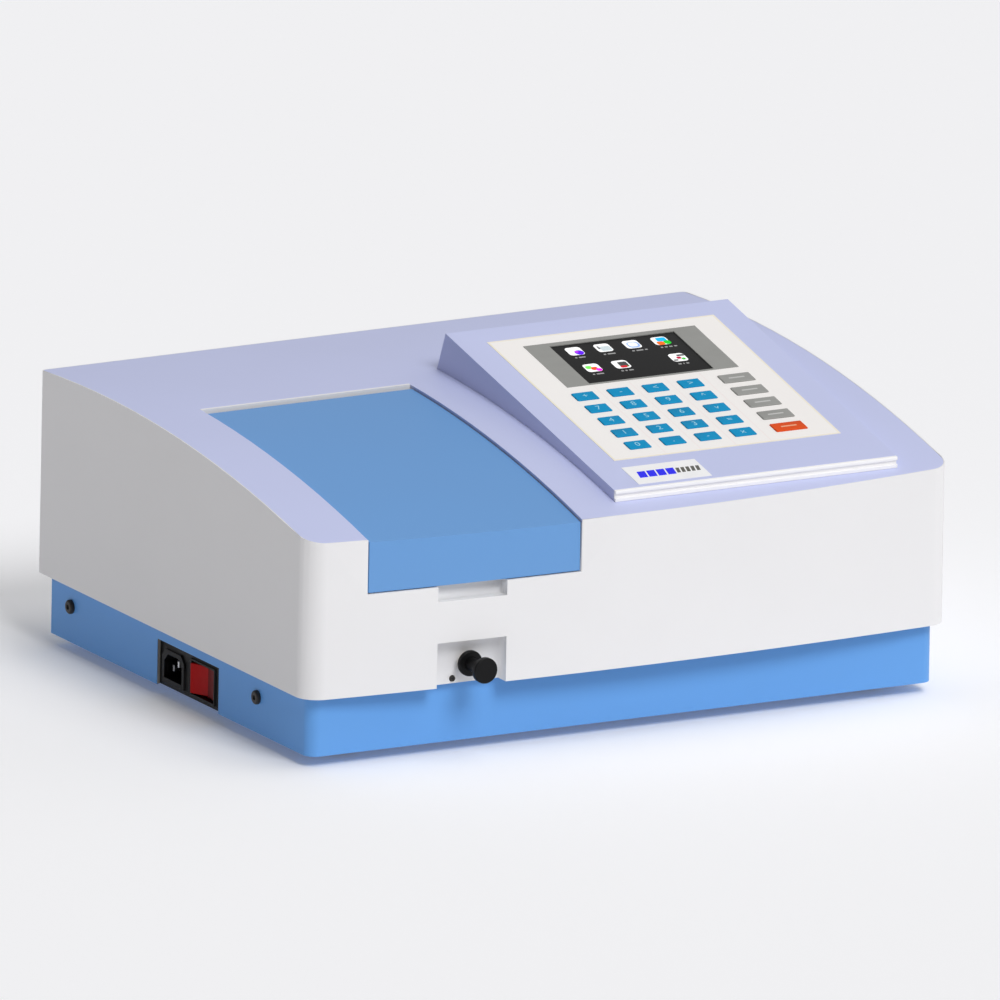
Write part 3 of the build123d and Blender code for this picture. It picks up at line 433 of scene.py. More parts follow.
def clear_red(name):
    """A clear red moulding under a polished coat, with painted shade on its front half."""
    material, surface, place = start_finish(name)
    depth = place.noise(5 * mm, 2.0)
    rocker_low, rocker_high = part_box("power_rocker")
    # the front half is painted a deeper red: painted shade where that half turns away from the light
    painted_shade_half = place.axis("Y") < (rocker_low.y + rocker_high.y) / 2
    lit = place.mix(depth, tint(170, 8, 10), tint(188, 12, 14))
    apply(surface, place, {
        "Base Color": place.mix(painted_shade_half, lit, tint(112, 4, 5)),
        "Roughness": 0.38 + depth * 0.08,
        "Specular IOR Level": 0.10,
        "Normal": depth.bump(0.05 * mm, 0.3),
    })
    return material


finishes["black_rubber"] = rubber("rubber_finish", (0.018, 0.018, 0.019, 1.0))
finishes["blue_key"] = key_film("blue_key_finish", tint(0, 147, 200))
finishes["grey_key"] = key_film("grey_key_finish", tint(158, 158, 155))
finishes["orange_key"] = key_film("orange_key_finish", tint(230, 82, 24))
finishes["grey_bezel"] = key_film("grey_bezel_finish", tint(154, 154, 151))
finishes["white_label"] = key_film("white_label_finish", tint(247, 247, 249))
finishes["red_plastic"] = clear_red("clear_red_finish")
print("soft and printed finishes bring the count to", len(finishes))

# %% [markdown]
# ## Glass, mirror and board
# The chamber windows and lamps are clear fused silica, kept partly see-through with alpha, which
# survives an export. The screen is dark glass. The boards are green lacquer over copper tracks: the
# tracks are raised lines on a regular grid, switched on and off by a coarse pattern.

# %% Glass, mirror and board
def clear_glass(name, colour, cover):
    """Clear glass that shows a little of its own colour; cover is how much it hides."""
    material, surface, place = start_finish(name)
    smear = place.noise(10 * mm, 3.0)
    apply(surface, place, {
        "Base Color": place.mix(smear, colour, shade(colour, 0.94)),
        "Roughness": 0.03 + smear * 0.05,
        "Alpha": cover + smear * 0.08,
        "IOR": 1.46,
    })
    return material


def dark_screen(name):
    """The display's cover glass: near black, smooth, with a faint even glow."""
    material, surface, place = start_finish(name)
    cells = place.noise(0.3 * mm, 1.0)
    glow = place.noise(50 * mm, 1.0)
    apply(surface, place, {
        "Base Color": place.mix(glow, tint(33, 33, 33), tint(38, 38, 39)),
        "Roughness": 0.30 + cells * 0.08,
        "Specular IOR Level": 0.08,
    })
    return material


def mirror_face(name):
    """A front-surface mirror with a trace of haze."""
    material, surface, place = start_finish(name)
    haze = place.noise(8 * mm, 3.0)
    apply(surface, place, {
        "Base Color": place.mix(haze, (0.86, 0.87, 0.90, 1.0), (0.92, 0.93, 0.95, 1.0)),
        "Metallic": 1.0,
        "Roughness": 0.03 + haze * 0.04,
    })
    return material


def lacquered_board(name, pitch=2.54 * mm):
    """Green solder mask over copper tracks on a tenth-inch grid."""
    material, surface, place = start_finish(name)
    across = place.axis("X") / pitch
    along = place.axis("Y") / pitch
    line = abs(place.maths("FRACT", across) - 0.5) < 0.14
    cross_line = abs(place.maths("FRACT", along) - 0.5) < 0.14
    area = place.noise(9 * mm, 1.0)
    tracks = line * (area > 0.5) + cross_line * (area < 0.46)
    apply(surface, place, {
        "Base Color": place.mix(tracks, (0.008, 0.10, 0.035, 1.0), (0.03, 0.22, 0.08, 1.0)),
        "Roughness": 0.3 + area * 0.1,
        "Normal": tracks.bump(0.05 * mm, 0.8),
    })
    return material


finishes["quartz"] = clear_glass("quartz_finish", (0.93, 0.96, 1.0, 1.0), 0.22)
finishes["lamp_glass"] = clear_glass("lamp_glass_finish", (0.94, 0.95, 1.0, 1.0), 0.45)
finishes["screen_glass"] = dark_screen("screen_finish")
finishes["mirror_coating"] = mirror_face("mirror_finish")
finishes["circuit_board"] = lacquered_board("board_finish")
print("with glass, mirror and board:", len(finishes), "finishes")

# %% [markdown]
# ## The console's own axes
# Everything on the console lies on one sloping face. A key's travel points straight into it, so the
# first key's joint gives the face's direction, and the print can be laid out in plain numbers: across,
# up the slope, and out of the face.

# %% The console's own axes
across = Vector((1, 0, 0))
outward = -Vector(next(joint for joint in frame["joints"] if joint["name"] == "press_r1_c1")["axis"])
upslope = outward.cross(across)
face_axes = Matrix((across, upslope, outward))


def corners(spots):
    """The lowest and highest corner of the box round some places."""
    low = Vector([min(spot[axis] for spot in spots) for axis in range(3)])
    high = Vector([max(spot[axis] for spot in spots) for axis in range(3)])
    return low, high


def on_face(node):
    """A node's lowest and highest corner, measured along the face's own axes."""
    return corners([face_axes @ vertex.co for vertex in nodes[node].data.vertices])


def off_face(spot):
    """A place on the face, given as (across, up, out), back in the room's axes."""
    return face_axes.transposed() @ Vector(spot)


panel_low, panel_high = on_face("membrane_panel")
print("the key panel is", [round(side / mm, 1) for side in panel_high - panel_low], "mm")

# %% [markdown]
# ## The printed key panel
# The panel is one polyester film over the keys. It is creamy at its cut edge, and a faint seam runs
# between the key columns, where the spacer under the film ends. Those marks follow the panel and not
# the room, so the panel gets a flat map in metres, taken from the face's own axes.

# %% The printed key panel's finish
def panel_film(name, size, seams, seam_top, seam_half=0.5 * mm, border=1.6 * mm):
    """White film with a creamy border and faint seams, drawn on the panel's own map."""
    material, surface, place = start_finish(name)
    flat = place.node("UVMap", {"uv_map": "face_map"})
    run = flat.axis("X")
    rise = flat.axis("Y")
    seam = 0.0
    for seam_at in seams:
        seam = (abs(run - seam_at) < seam_half) + seam
    seam = seam * (rise < seam_top)
    side = abs(run - size.x / 2) > size.x / 2 - border
    end = abs(rise - size.y / 2) > size.y / 2 - border
    edge = place.maths("MINIMUM", side + end, 1.0)
    dots = place.noise(0.25 * mm, 1.0)
    drift = place.noise(70 * mm, 2.0)
    film = place.mix(drift, tint(249, 245, 243), tint(253, 250, 247))
    seamed = place.mix(seam * 0.5, film, tint(250, 236, 234))
    apply(surface, place, {
        "Base Color": place.mix(edge * 0.85, seamed, tint(248, 240, 220)),
        "Roughness": 0.34 + dots * 0.10,
        "Specular IOR Level": 0.3,
        "Normal": (dots * 0.2 - seam * 0.8).bump(0.03 * mm, 0.5),
    })
    return material


column_middles = []
for column in range(1, 5):
    low, high = on_face(f"key_r1_c{column}")
    column_middles.append((low.x + high.x) / 2 - panel_low.x)
key_pitch = column_middles[1] - column_middles[0]
screen_low, screen_high = on_face("lcd_bezel")
finishes["white_membrane"] = panel_film(
    "panel_film_finish",
    panel_high - panel_low,
    [middle + key_pitch / 2 for middle in column_middles],
    screen_low.y - panel_low.y - 2 * mm,
)
print("key columns stand", round(key_pitch / mm, 2), "mm apart")

# %% [markdown]
# ## Soft edges on the solid pieces
# A real cover has no razor edges: each outer edge is rounded by the mould, and that thin round catches
# the light. The frame's meshes are loose triangles, so each is copied, its doubles are merged and its
# flat areas joined. Then the outer edges with room for it are bevelled. Area-weighted normals keep
# the flat walls flat right up to the round.

# %% A joined-up copy with rounded edges
smooth_angle = math.radians(38)
edge_angle = math.radians(32)
flat_angle = math.radians(0.3)
weld_gap = 0.004 * mm
corner_share = 0.7  # two edges make a corner if they run less alike than this
room_share = 2.1  # how many widths long a neighbour must be


def has_room(edge, width):
    """True if the corners at both ends leave space for a round of this width."""
    ours = edge.verts[1].co - edge.verts[0].co
    for face in edge.link_faces:
        for loop in face.loops:
            if loop.edge is edge or not set(edge.verts) & set(loop.edge.verts):
                continue
            theirs = loop.edge.verts[1].co - loop.edge.verts[0].co
            corner = abs(ours.normalized().dot(theirs.normalized())) < corner_share
            if corner and theirs.length < room_share * width:
                return False
    return True


def smooth(mesh):
    """Smooth shading that still breaks at the real corners."""
    mesh.polygons.foreach_set("use_smooth", [True] * len(mesh.polygons))
    mesh.set_sharp_from_angle(angle=smooth_angle)


def made_mesh(work, name):
    """Turns the working geometry into a smoothly shaded mesh."""
    mesh = bpy.data.meshes.new(name)
    work.to_mesh(mesh)
    work.free()
    smooth(mesh)
    return mesh


def softened(node, width, steps=2):
    """A copy of a solid piece, with its outer edges rounded to this width."""
    work = bmesh.new()
    work.from_mesh(nodes[node].data)
    for layer in list(work.loops.layers.uv.values()):
        work.loops.layers.uv.remove(layer)
    bmesh.ops.remove_doubles(work, verts=work.verts, dist=weld_gap)
    bmesh.ops.dissolve_limit(work, angle_limit=flat_angle, verts=work.verts, edges=work.edges)
    if width:
        sharp = [
            edge for edge in work.edges
            if edge.is_manifold and edge.is_convex
            and edge.calc_face_angle(0.0) > edge_angle and has_room(edge, width)
        ]
        bmesh.ops.bevel(
            work, geom=sharp, offset=width, segments=steps, profile=0.5, affect="EDGES", clamp_overlap=True,
        )
    bmesh.ops.triangulate(work, faces=[face for face in work.faces if len(face.verts) > 4])
    return made_mesh(work, node + "_body")


def show(mesh, name, body, finish=None, stands_for=()):
    """Puts a finished mesh in the scene on its body."""
    if finish:
        mesh.materials.clear()
        mesh.materials.append(finish)
    piece = bpy.data.objects.new(name, mesh)
    scene.collection.objects.link(piece)
    weighted = piece.modifiers.new("even_shading", "WEIGHTED_NORMAL")
    weighted.keep_sharp = True
    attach(piece, body)
    if stands_for:
        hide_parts(*stands_for)
    return piece


def body_of(node):
    """The body that a node rides on."""
    return next(name for name, members in frame["record"]["behaviour"]["bodies"].items() if node in members)


print("edge tools are ready")

# %% [markdown]
# ## Dressing every solid
# Each node already names its finish, so one loop can dress them all. Only the size of the round
# differs: big covers have soft edges, folded steel has small ones, and printed film has next to none.

# %% Dressing every solid
round_of = {
    "upper_casing": 1.0,
    "roof_panel": 0.3,
    "compartment_frame": 0.4,
    "sample_lid": 0.8,
    "base_tray": 0.5,
    "console_housing": 0.7,
    "console_front_trim": 0.45,
    "membrane_panel": 0.0,
    "lcd_bezel": 0.08,
    "lcd_module": 0.0,
    "name_plate": 0.08,
    "pull_knob": 0.3,
    "cell_carriage": 0.35,
    "sample_chamber": 0.4,
    "power_inlet": 0.4,
    "power_rocker": 0.4,
    "monochromator_case": 0.6,
    "optical_bench": 0.8,
    "power_supply": 0.6,
    "detector_module": 0.5,
    "rubber_feet": 0.6,
}
default_round = 0.15

pieces = {}
for node in sorted(nodes):
    slot = nodes[node].material_slots[0].material.name
    mesh = softened(node, round_of.get(node, default_round) * mm)
    pieces[node] = show(mesh, node + "_piece", body_of(node), finishes[slot], [node])

panel_mesh = pieces["membrane_panel"].data
face_map = panel_mesh.uv_layers.new(name="face_map")
for loop in panel_mesh.loops:
    spot = face_axes @ panel_mesh.vertices[loop.vertex_index].co
    face_map.data[loop.index].uv = (spot.x - panel_low.x, spot.y - panel_low.y)
total = sum(len(piece.data.polygons) for piece in pieces.values())
print("dressed", len(pieces), "pieces with", total, "faces")

# %% [markdown]
# ## Growing small parts that repeat
# Screws, digits, board components and ventilation holes repeat, so each is described once, as a tree
# of Geometry Nodes with named inputs, and grown wherever it is needed. The tree's last two nodes make
# its instances real and give them their finish. The result is baked to a plain mesh at once, because
# a piece must be an ordinary mesh before it can ride on a body.

# %% Tools for geometry trees
def part_tree(name, inputs):
    """A new geometry tree. Gives it back as a wire, with a wire for each named input."""
    tree = bpy.data.node_groups.new(name, "GeometryNodeTree")
    tree.interface.new_socket("Geometry", in_out="OUTPUT", socket_type="NodeSocketGeometry")
    for label, (kind, value) in inputs.items():
        socket = tree.interface.new_socket(label, in_out="INPUT", socket_type="NodeSocket" + kind)
        if value is not None:
            socket.default_value = value
    source = tree.nodes.new("NodeGroupInput")
    return Wire(tree), {socket.name: Wire(tree, socket) for socket in source.outputs if socket.name}


def joined(first, second):
    """Two shapes as one."""
    both = first.tree.nodes.new("GeometryNodeJoinGeometry")
    first.feed(both.inputs["Geometry"], first)
    first.feed(both.inputs["Geometry"], second)
    return Wire(first.tree, both.outputs["Geometry"])


def thickened(sheet, thickness):
    """A flat sheet raised into a closed plate."""
    raised = sheet.node(
        "GeometryNodeExtrudeMesh",
        {"mode": "FACES"},
        {"Mesh": sheet, "Offset Scale": thickness, "Individual": False},
    )
    under = sheet.node("GeometryNodeFlipFaces", sockets={"Mesh": sheet})
    plate = joined(raised, under)
    return sheet.node("GeometryNodeMergeByDistance", sockets={"Geometry": plate, "Distance": 0.001 * mm})


def finish_tree(shape, finish):
    """Ends a tree: its instances become real, take the finish, and go out."""
    real = shape.node("GeometryNodeRealizeInstances", sockets={"Geometry": shape})
    dressed = shape.node("GeometryNodeSetMaterial", sockets={"Geometry": real, "Material": finish})
    way_out = shape.tree.nodes.new("NodeGroupOutput")
    shape.feed(way_out.inputs["Geometry"], dressed)
    return shape.tree


def grown(tree, settings, place=Matrix.Identity(4)):
    """Runs a tree with these inputs and gives back a plain mesh, moved to its place."""
    holder = bpy.data.objects.new(tree.name, bpy.data.meshes.new(tree.name))
    scene.collection.objects.link(holder)
    modifier = holder.modifiers.new("grown", "NODES")
    modifier.node_group = tree
    for item in tree.interface.items_tree:
        if item.in_out == "INPUT" and item.name in settings:
            modifier[item.identifier] = settings[item.name]
    mesh = bpy.data.meshes.new_from_object(holder.evaluated_get(bpy.context.evaluated_depsgraph_get()))
    holder.modifiers.remove(modifier)
    bpy.data.objects.remove(holder)
    mesh.transform(place)
    work = bmesh.new()
    work.from_mesh(mesh)
    bmesh.ops.recalc_face_normals(work, faces=work.faces)
    work.to_mesh(mesh)
    work.free()
    smooth(mesh)
    return mesh


def facing(middle, outwards, sideways):
    """Turns a part that was grown flat, with its top up, to face outwards at this middle."""
    outwards = Vector(outwards)
    sideways = Vector(sideways)
    turned = Matrix((sideways, outwards.cross(sideways), outwards)).transposed()
    return Matrix.Translation(middle) @ turned.to_4x4()


print("geometry trees can be grown")

# %% [markdown]
# ## Cross-head screws
# A pan head is a low cone with a cross cut into it. The cross is a boolean cut, made once on the one
# head before it is repeated, so it costs nothing extra. The heads stand on the points of a grid.

# %% The screw tree
tree, given = part_tree("screw_set", {
    "Span X": ("Float", 0.1),
    "Span Y": ("Float", 0.1),
    "Count X": ("Int", 2),
    "Count Y": ("Int", 2),
    "Head Radius": ("Float", 2.0 * mm),
    "Finish": ("Material", None),
})
radius = given["Head Radius"]
height = radius * 0.6
head = tree.node("GeometryNodeMeshCone", {"fill_type": "NGON"}, {
    "Vertices": 20,
    "Radius Top": radius * 0.78,
    "Radius Bottom": radius,
    "Depth": height,
})
for long_side, short_side in ((1.3, 0.26), (0.26, 1.3)):
    size = tree.node("CombineXYZ", sockets={0: radius * long_side, 1: radius * short_side, 2: height})
    bar = tree.node("GeometryNodeMeshCube", sockets={"Size": size}, output="Mesh")
    lift = tree.node("CombineXYZ", sockets={2: height * 1.1})
    bar = tree.node("GeometryNodeTransform", sockets={"Geometry": bar, "Translation": lift})
    head = tree.node("GeometryNodeMeshBoolean", {"operation": "DIFFERENCE"}, {"Mesh 1": head, "Mesh 2": bar})
spots = tree.node("GeometryNodeMeshGrid", sockets={
    "Size X": given["Span X"],
    "Size Y": given["Span Y"],
    "Vertices X": given["Count X"],
    "Vertices Y": given["Count Y"],
}, output="Mesh")
heads = tree.node("GeometryNodeInstanceOnPoints", sockets={"Points": spots, "Instance": head})
screw_tree = finish_tree(heads, given["Finish"])


def screws(name, middle, outwards, sideways, span, count, slot="bright_steel", radius=2.0 * mm):
    """A rectangle of screws on a flat face of the casing."""
    settings = {
        "Span X": span[0],
        "Span Y": span[1],
        "Count X": count[0],
        "Count Y": count[1],
        "Head Radius": radius,
        "Finish": finishes[slot],
    }
    mesh = grown(screw_tree, settings, facing(middle, outwards, sideways))
    return show(mesh, name, "casing")


print("the screw tree has", len(screw_tree.nodes), "nodes")

# %% [markdown]
# ## Where the screws go
# Screws sit where a repairer would look for them: round the chamber's flange, round the fan in the
# rear wall, and on the lids of the optical case and the power supply. Each set is placed from the box
# of the piece that it holds, so it moves if that piece is ever made larger.

# %% The screws' places
chamber_low, chamber_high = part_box("sample_chamber")
chamber_middle = (chamber_low + chamber_high) / 2
chamber_middle.z = chamber_high.z
flange_half = 3.2 * mm
screws(
    "chamber_screws", chamber_middle, (0, 0, 1), (1, 0, 0),
    (chamber_high.x - chamber_low.x - 2 * flange_half, chamber_high.y - chamber_low.y - 2 * flange_half),
    (2, 4), "black_steel", 1.9 * mm,
)

fan_low, fan_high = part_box("fan_frame")
fan_middle = (fan_low + fan_high) / 2
fan_middle.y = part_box("upper_casing")[1].y
fan_hole_pitch = 50 * mm
screws(
    "fan_screws", fan_middle, (0, 1, 0), (-1, 0, 0),
    (fan_hole_pitch, fan_hole_pitch), (2, 2), "black_steel", 2.2 * mm,
)


def top_screws(node, inset, count, radius=1.8 * mm):
    """Screws round the flat top of a closed housing inside the casing."""
    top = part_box(node)[1].z
    low, high = corners([vertex.co for vertex in nodes[node].data.vertices if vertex.co.z > top - 0.1 * mm])
    span = (high.x - low.x - 2 * inset, high.y - low.y - 2 * inset)
    screws(node + "_screws", (low + high) / 2, (0, 0, 1), (1, 0, 0), span, count, "bright_steel", radius)


top_screws("monochromator_case", 6 * mm, (2, 5), 2.0 * mm)
top_screws("power_supply", 5 * mm, (2, 2))
print("screws on the chamber, the fan, the optical case and the supply")

# %% [markdown]
# ## Vents in the power supply's cover
# A vent panel is a sheet with square holes. In nodes: a grid, each face drawn inwards, the inner faces
# deleted, and the rest given a thickness. That makes clean closed edges without a single boolean.

# %% The vent panel
tree, given = part_tree("vent_panel", {
    "Span X": ("Float", 0.05),
    "Span Y": ("Float", 0.05),
    "Holes X": ("Int", 8),
    "Holes Y": ("Int", 8),
    "Open Share": ("Float", 0.6),
    "Thickness": ("Float", 0.8 * mm),
    "Finish": ("Material", None),
})
field = tree.node("GeometryNodeMeshGrid", sockets={
    "Size X": given["Span X"],
    "Size Y": given["Span Y"],
    "Vertices X": given["Holes X"] + 1,
    "Vertices Y": given["Holes Y"] + 1,
}, output="Mesh")
drawn_in = tree.node("GeometryNodeExtrudeMesh", {"mode": "FACES"}, {
    "Mesh": field,
    "Offset Scale": 0.0,
    "Individual": True,
}, output="Mesh")
shrunk = tree.node("GeometryNodeScaleElements", sockets={
    "Geometry": drawn_in,
    "Selection": drawn_in.other("Top"),
    "Scale": given["Open Share"],
})
holed = tree.node("GeometryNodeDeleteGeometry", {"domain": "FACE"}, {
    "Geometry": shrunk,
    "Selection": drawn_in.other("Top"),
})
holed = tree.node("GeometryNodeMergeByDistance", sockets={"Geometry": holed, "Distance": 0.01 * mm})
vent_tree = finish_tree(thickened(holed, given["Thickness"]), given["Finish"])

supply_low, supply_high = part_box("power_supply")
supply_top = (supply_low + supply_high) / 2
supply_top.z = supply_high.z
vent_mesh = grown(vent_tree, {
    "Span X": 54 * mm,
    "Span Y": 110 * mm,
    "Holes X": 12,
    "Holes Y": 24,
    "Finish": finishes["bright_steel"],
}, facing(supply_top, (0, 0, 1), (1, 0, 0)))
show(vent_mesh, "supply_vent_panel", "casing")
print("the vent panel has", len(vent_mesh.polygons), "faces")

# %% [markdown]
# ## Components on the main board
# Small parts crowd a board in no strict order. Points are scattered with a smallest distance between
# them, so that no two parts collide, and each takes a block of random size. The seed is fixed, so the
# board comes out the same every time.

# %% The board's small parts
tree, given = part_tree("board_parts", {
    "Span X": ("Float", 0.02),
    "Span Y": ("Float", 0.1),
    "Spacing": ("Float", 5.0 * mm),
    "Seed": ("Int", 1),
    "Smallest": ("Vector", (1.2 * mm, 1.2 * mm, 0.6 * mm)),
    "Largest": ("Vector", (3.4 * mm, 4.0 * mm, 2.2 * mm)),
    "Finish": ("Material", None),
})
strip = tree.node("GeometryNodeMeshGrid", sockets={
    "Size X": given["Span X"],
    "Size Y": given["Span Y"],
    "Vertices X": 2,
    "Vertices Y": 2,
}, output="Mesh")
spots = tree.node("GeometryNodeDistributePointsOnFaces", {"distribute_method": "POISSON"}, {
    "Mesh": strip,
    "Distance Min": given["Spacing"],
    "Density Max": 90000.0,
    "Seed": given["Seed"],
})
block = tree.node("GeometryNodeMeshCube", sockets={"Size": (1.0, 1.0, 1.0)}, output="Mesh")
block = tree.node("GeometryNodeTransform", sockets={"Geometry": block, "Translation": (0.0, 0.0, 0.5)})
sizes_of = tree.node("FunctionNodeRandomValue", {"data_type": "FLOAT_VECTOR"}, {
    0: given["Smallest"],
    1: given["Largest"],
    "Seed": given["Seed"],
})
blocks = tree.node("GeometryNodeInstanceOnPoints", sockets={
    "Points": spots,
    "Instance": block,
    "Scale": sizes_of,
})
parts_tree = finish_tree(blocks, given["Finish"])

board_low, board_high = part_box("main_board")
post_height = 10.0 * mm
board_thickness = 1.6 * mm
board_face = board_low.z + post_height + board_thickness
strip_width = 18 * mm
strip_end_gap = 14 * mm
for number, side in enumerate((-1, 1)):
    edge = board_low.x if side < 0 else board_high.x
    middle = Vector((edge - side * (strip_width / 2 + 2 * mm), (board_low.y + board_high.y) / 2, board_face))
    mesh = grown(parts_tree, {
        "Span X": strip_width - 4 * mm,
        "Span Y": board_high.y - board_low.y - 2 * strip_end_gap,
        "Seed": 11 + number,
        "Finish": finishes["black_plastic"],
    }, Matrix.Translation(middle))
    show(mesh, f"board_parts_{number + 1}", "casing")
    print("strip", number + 1, "holds", len(mesh.polygons) // 6, "components")

# %% [markdown]
# ## Print on the keys and the carriage
# Every key carries a printed sign and every cell position a number. Letters are curves, so they are
# filled, raised by a twentieth of a millimetre and laid on the surface. A key's print rides on the
# key's own body and goes down with it. The function keys carry a plain bar.

# %% The lettering tree
def printed_ink(name, colour):
    """Screen ink: thin, satin, a little uneven."""
    material, surface, place = start_finish(name)
    uneven = place.noise(0.5 * mm, 2.0)
    apply(surface, place, {
        "Base Color": place.mix(uneven, shade(colour, 0.88), colour),
        "Roughness": 0.42 + uneven * 0.12,
        "Specular IOR Level": 0.2,
    })
    return material


inks = {
    "pale_blue": printed_ink("pale_blue_ink", tint(160, 220, 240)),
    "pale_grey": printed_ink("pale_grey_ink", tint(204, 204, 202)),
    "pale_orange": printed_ink("pale_orange_ink", tint(248, 180, 140)),
    "white": printed_ink("white_ink", tint(225, 225, 225)),
}
tree, given = part_tree("lettering", {
    "Text": ("String", "0"),
    "Height": ("Float", 4.0 * mm),
    "Thickness": ("Float", 0.05 * mm),
    "Finish": ("Material", None),
})
built_in_font = bpy.data.fonts.load("<builtin>")
letters = tree.node(
    "GeometryNodeStringToCurves",
    {"align_x": "CENTER", "align_y": "MIDDLE", "font": built_in_font},
    {"String": given["Text"], "Size": given["Height"]},
    output="Curve Instances",
)
letters = tree.node("GeometryNodeRealizeInstances", sockets={"Geometry": letters})
letters = tree.node("GeometryNodeFillCurve", {"mode": "NGONS"}, {"Curve": letters})
letter_tree = finish_tree(thickened(letters, given["Thickness"]), given["Finish"])


def rounded_box(middle_x, middle_y, width, height, radius, steps=4):
    """The outline of a box with round corners, as points that run anticlockwise."""
    points = []
    for corner, (side_x, side_y) in enumerate(((1, 1), (-1, 1), (-1, -1), (1, -1))):
        for step in range(steps + 1):
            turn = math.pi / 2 * (corner + step / steps)
            points.append((
                middle_x + side_x * (width / 2 - radius) + radius * math.cos(turn),
                middle_y + side_y * (height / 2 - radius) + radius * math.sin(turn),
            ))
    return points


def ink_plates(name, plates):
    """Thin closed plates on the console's face: (outline, bottom, top, ink colour) each."""
    work = bmesh.new()
    layer = work.verts.layers.float_color.new("ink")
    for outline, bottom, top, colour in plates:
        rings = [
            [work.verts.new(off_face((x, y, out))) for x, y in outline]
            for out in (bottom, top)
        ]
        for vertex in rings[0] + rings[1]:
            vertex[layer] = colour
        work.faces.new(rings[0][::-1])
        work.faces.new(rings[1])
        for here in range(len(outline)):
            after = (here + 1) % len(outline)
            work.faces.new((rings[0][here], rings[0][after], rings[1][after], rings[1][here]))
    return made_mesh(work, name)


ink_depth = 0.05 * mm
ink_sink = 0.02 * mm
sign_height = 7.6 * mm
bar_width, bar_height, bar_round = 12 * mm, 1.6 * mm, 0.3 * mm
signs = ("+-<>", "789^", "456v", "123=", "0.-x")
for row, row_signs in enumerate(signs):
    for column, sign in enumerate(row_signs):
        key = f"key_r{row + 1}_c{column + 1}"
        low, high = on_face(key)
        middle = off_face(((low.x + high.x) / 2, (low.y + high.y) / 2, high.z - ink_sink))
        mesh = grown(letter_tree, {
            "Text": sign,
            "Height": sign_height,
            "Thickness": ink_depth + ink_sink,
            "Finish": inks["pale_blue"],
        }, facing(middle, outward, across))
        show(mesh, key + "_print", body_of(key))
for row in range(5):
    key = f"key_f{row + 1}"
    low, high = on_face(key)
    bar = rounded_box((low.x + high.x) / 2, (low.y + high.y) / 2, bar_width, bar_height, bar_round, 2)
    ink = "pale_orange" if row == 4 else "pale_grey"
    mesh = ink_plates(key + "_print", [(bar, high.z - ink_sink, high.z + ink_depth, (1, 1, 1, 1))])
    show(mesh, key + "_print", body_of(key), inks[ink])

carriage_low, carriage_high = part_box("cell_carriage")
cell_count = 4
cell_pitch = 18 * mm
first_cell = 12 * mm
number_left = 9.2 * mm
number_height = 5 * mm
numbers = bmesh.new()
for cell in range(cell_count):
    middle = Vector((
        (carriage_low.x + carriage_high.x) / 2 - number_left,
        carriage_low.y + first_cell + cell * cell_pitch,
        carriage_high.z - ink_sink,
    ))
    mesh = grown(letter_tree, {
        "Text": str(cell + 1),
        "Height": number_height,
        "Thickness": ink_depth + ink_sink,
        "Finish": inks["white"],
    }, Matrix.Translation(middle))
    numbers.from_mesh(mesh)
number_mesh = made_mesh(numbers, "cell_numbers")
show(number_mesh, "cell_numbers", body_of("cell_carriage"), inks["white"])
print("print on every key and on", cell_count, "cell positions")

# %% [markdown]
# ## Pictures on the screen
# The screen shows seven menu tiles on a dark ground, each with a short caption. They are made as thin
# plates that lie on the glass, in one mesh, and every plate carries its colour on its points. One
# finish reads that colour, gives it the fine grid of a display, and lets it glow a little.

# %% The screen's tiles
def lit_picture(name, pitch=0.2 * mm, glow=0.35):
    """A lit display: the colour that the plates carry, over a fine grid of cells."""
    material, surface, place = start_finish(name)
    ink = place.node("Attribute", {"attribute_name": "ink"}, output="Color")
    cells = abs(place.maths("FRACT", place.axis("X") / pitch) - 0.5) < 0.08
    seen = place.mix(cells * 0.25, ink, (0.0, 0.0, 0.0, 1.0))
    apply(surface, place, {
        "Base Color": seen,
        "Emission Color": seen,
        "Emission Strength": glow,
        "Roughness": 0.3 + cells * 0.1,
        "Specular IOR Level": 0.1,
    })
    return material


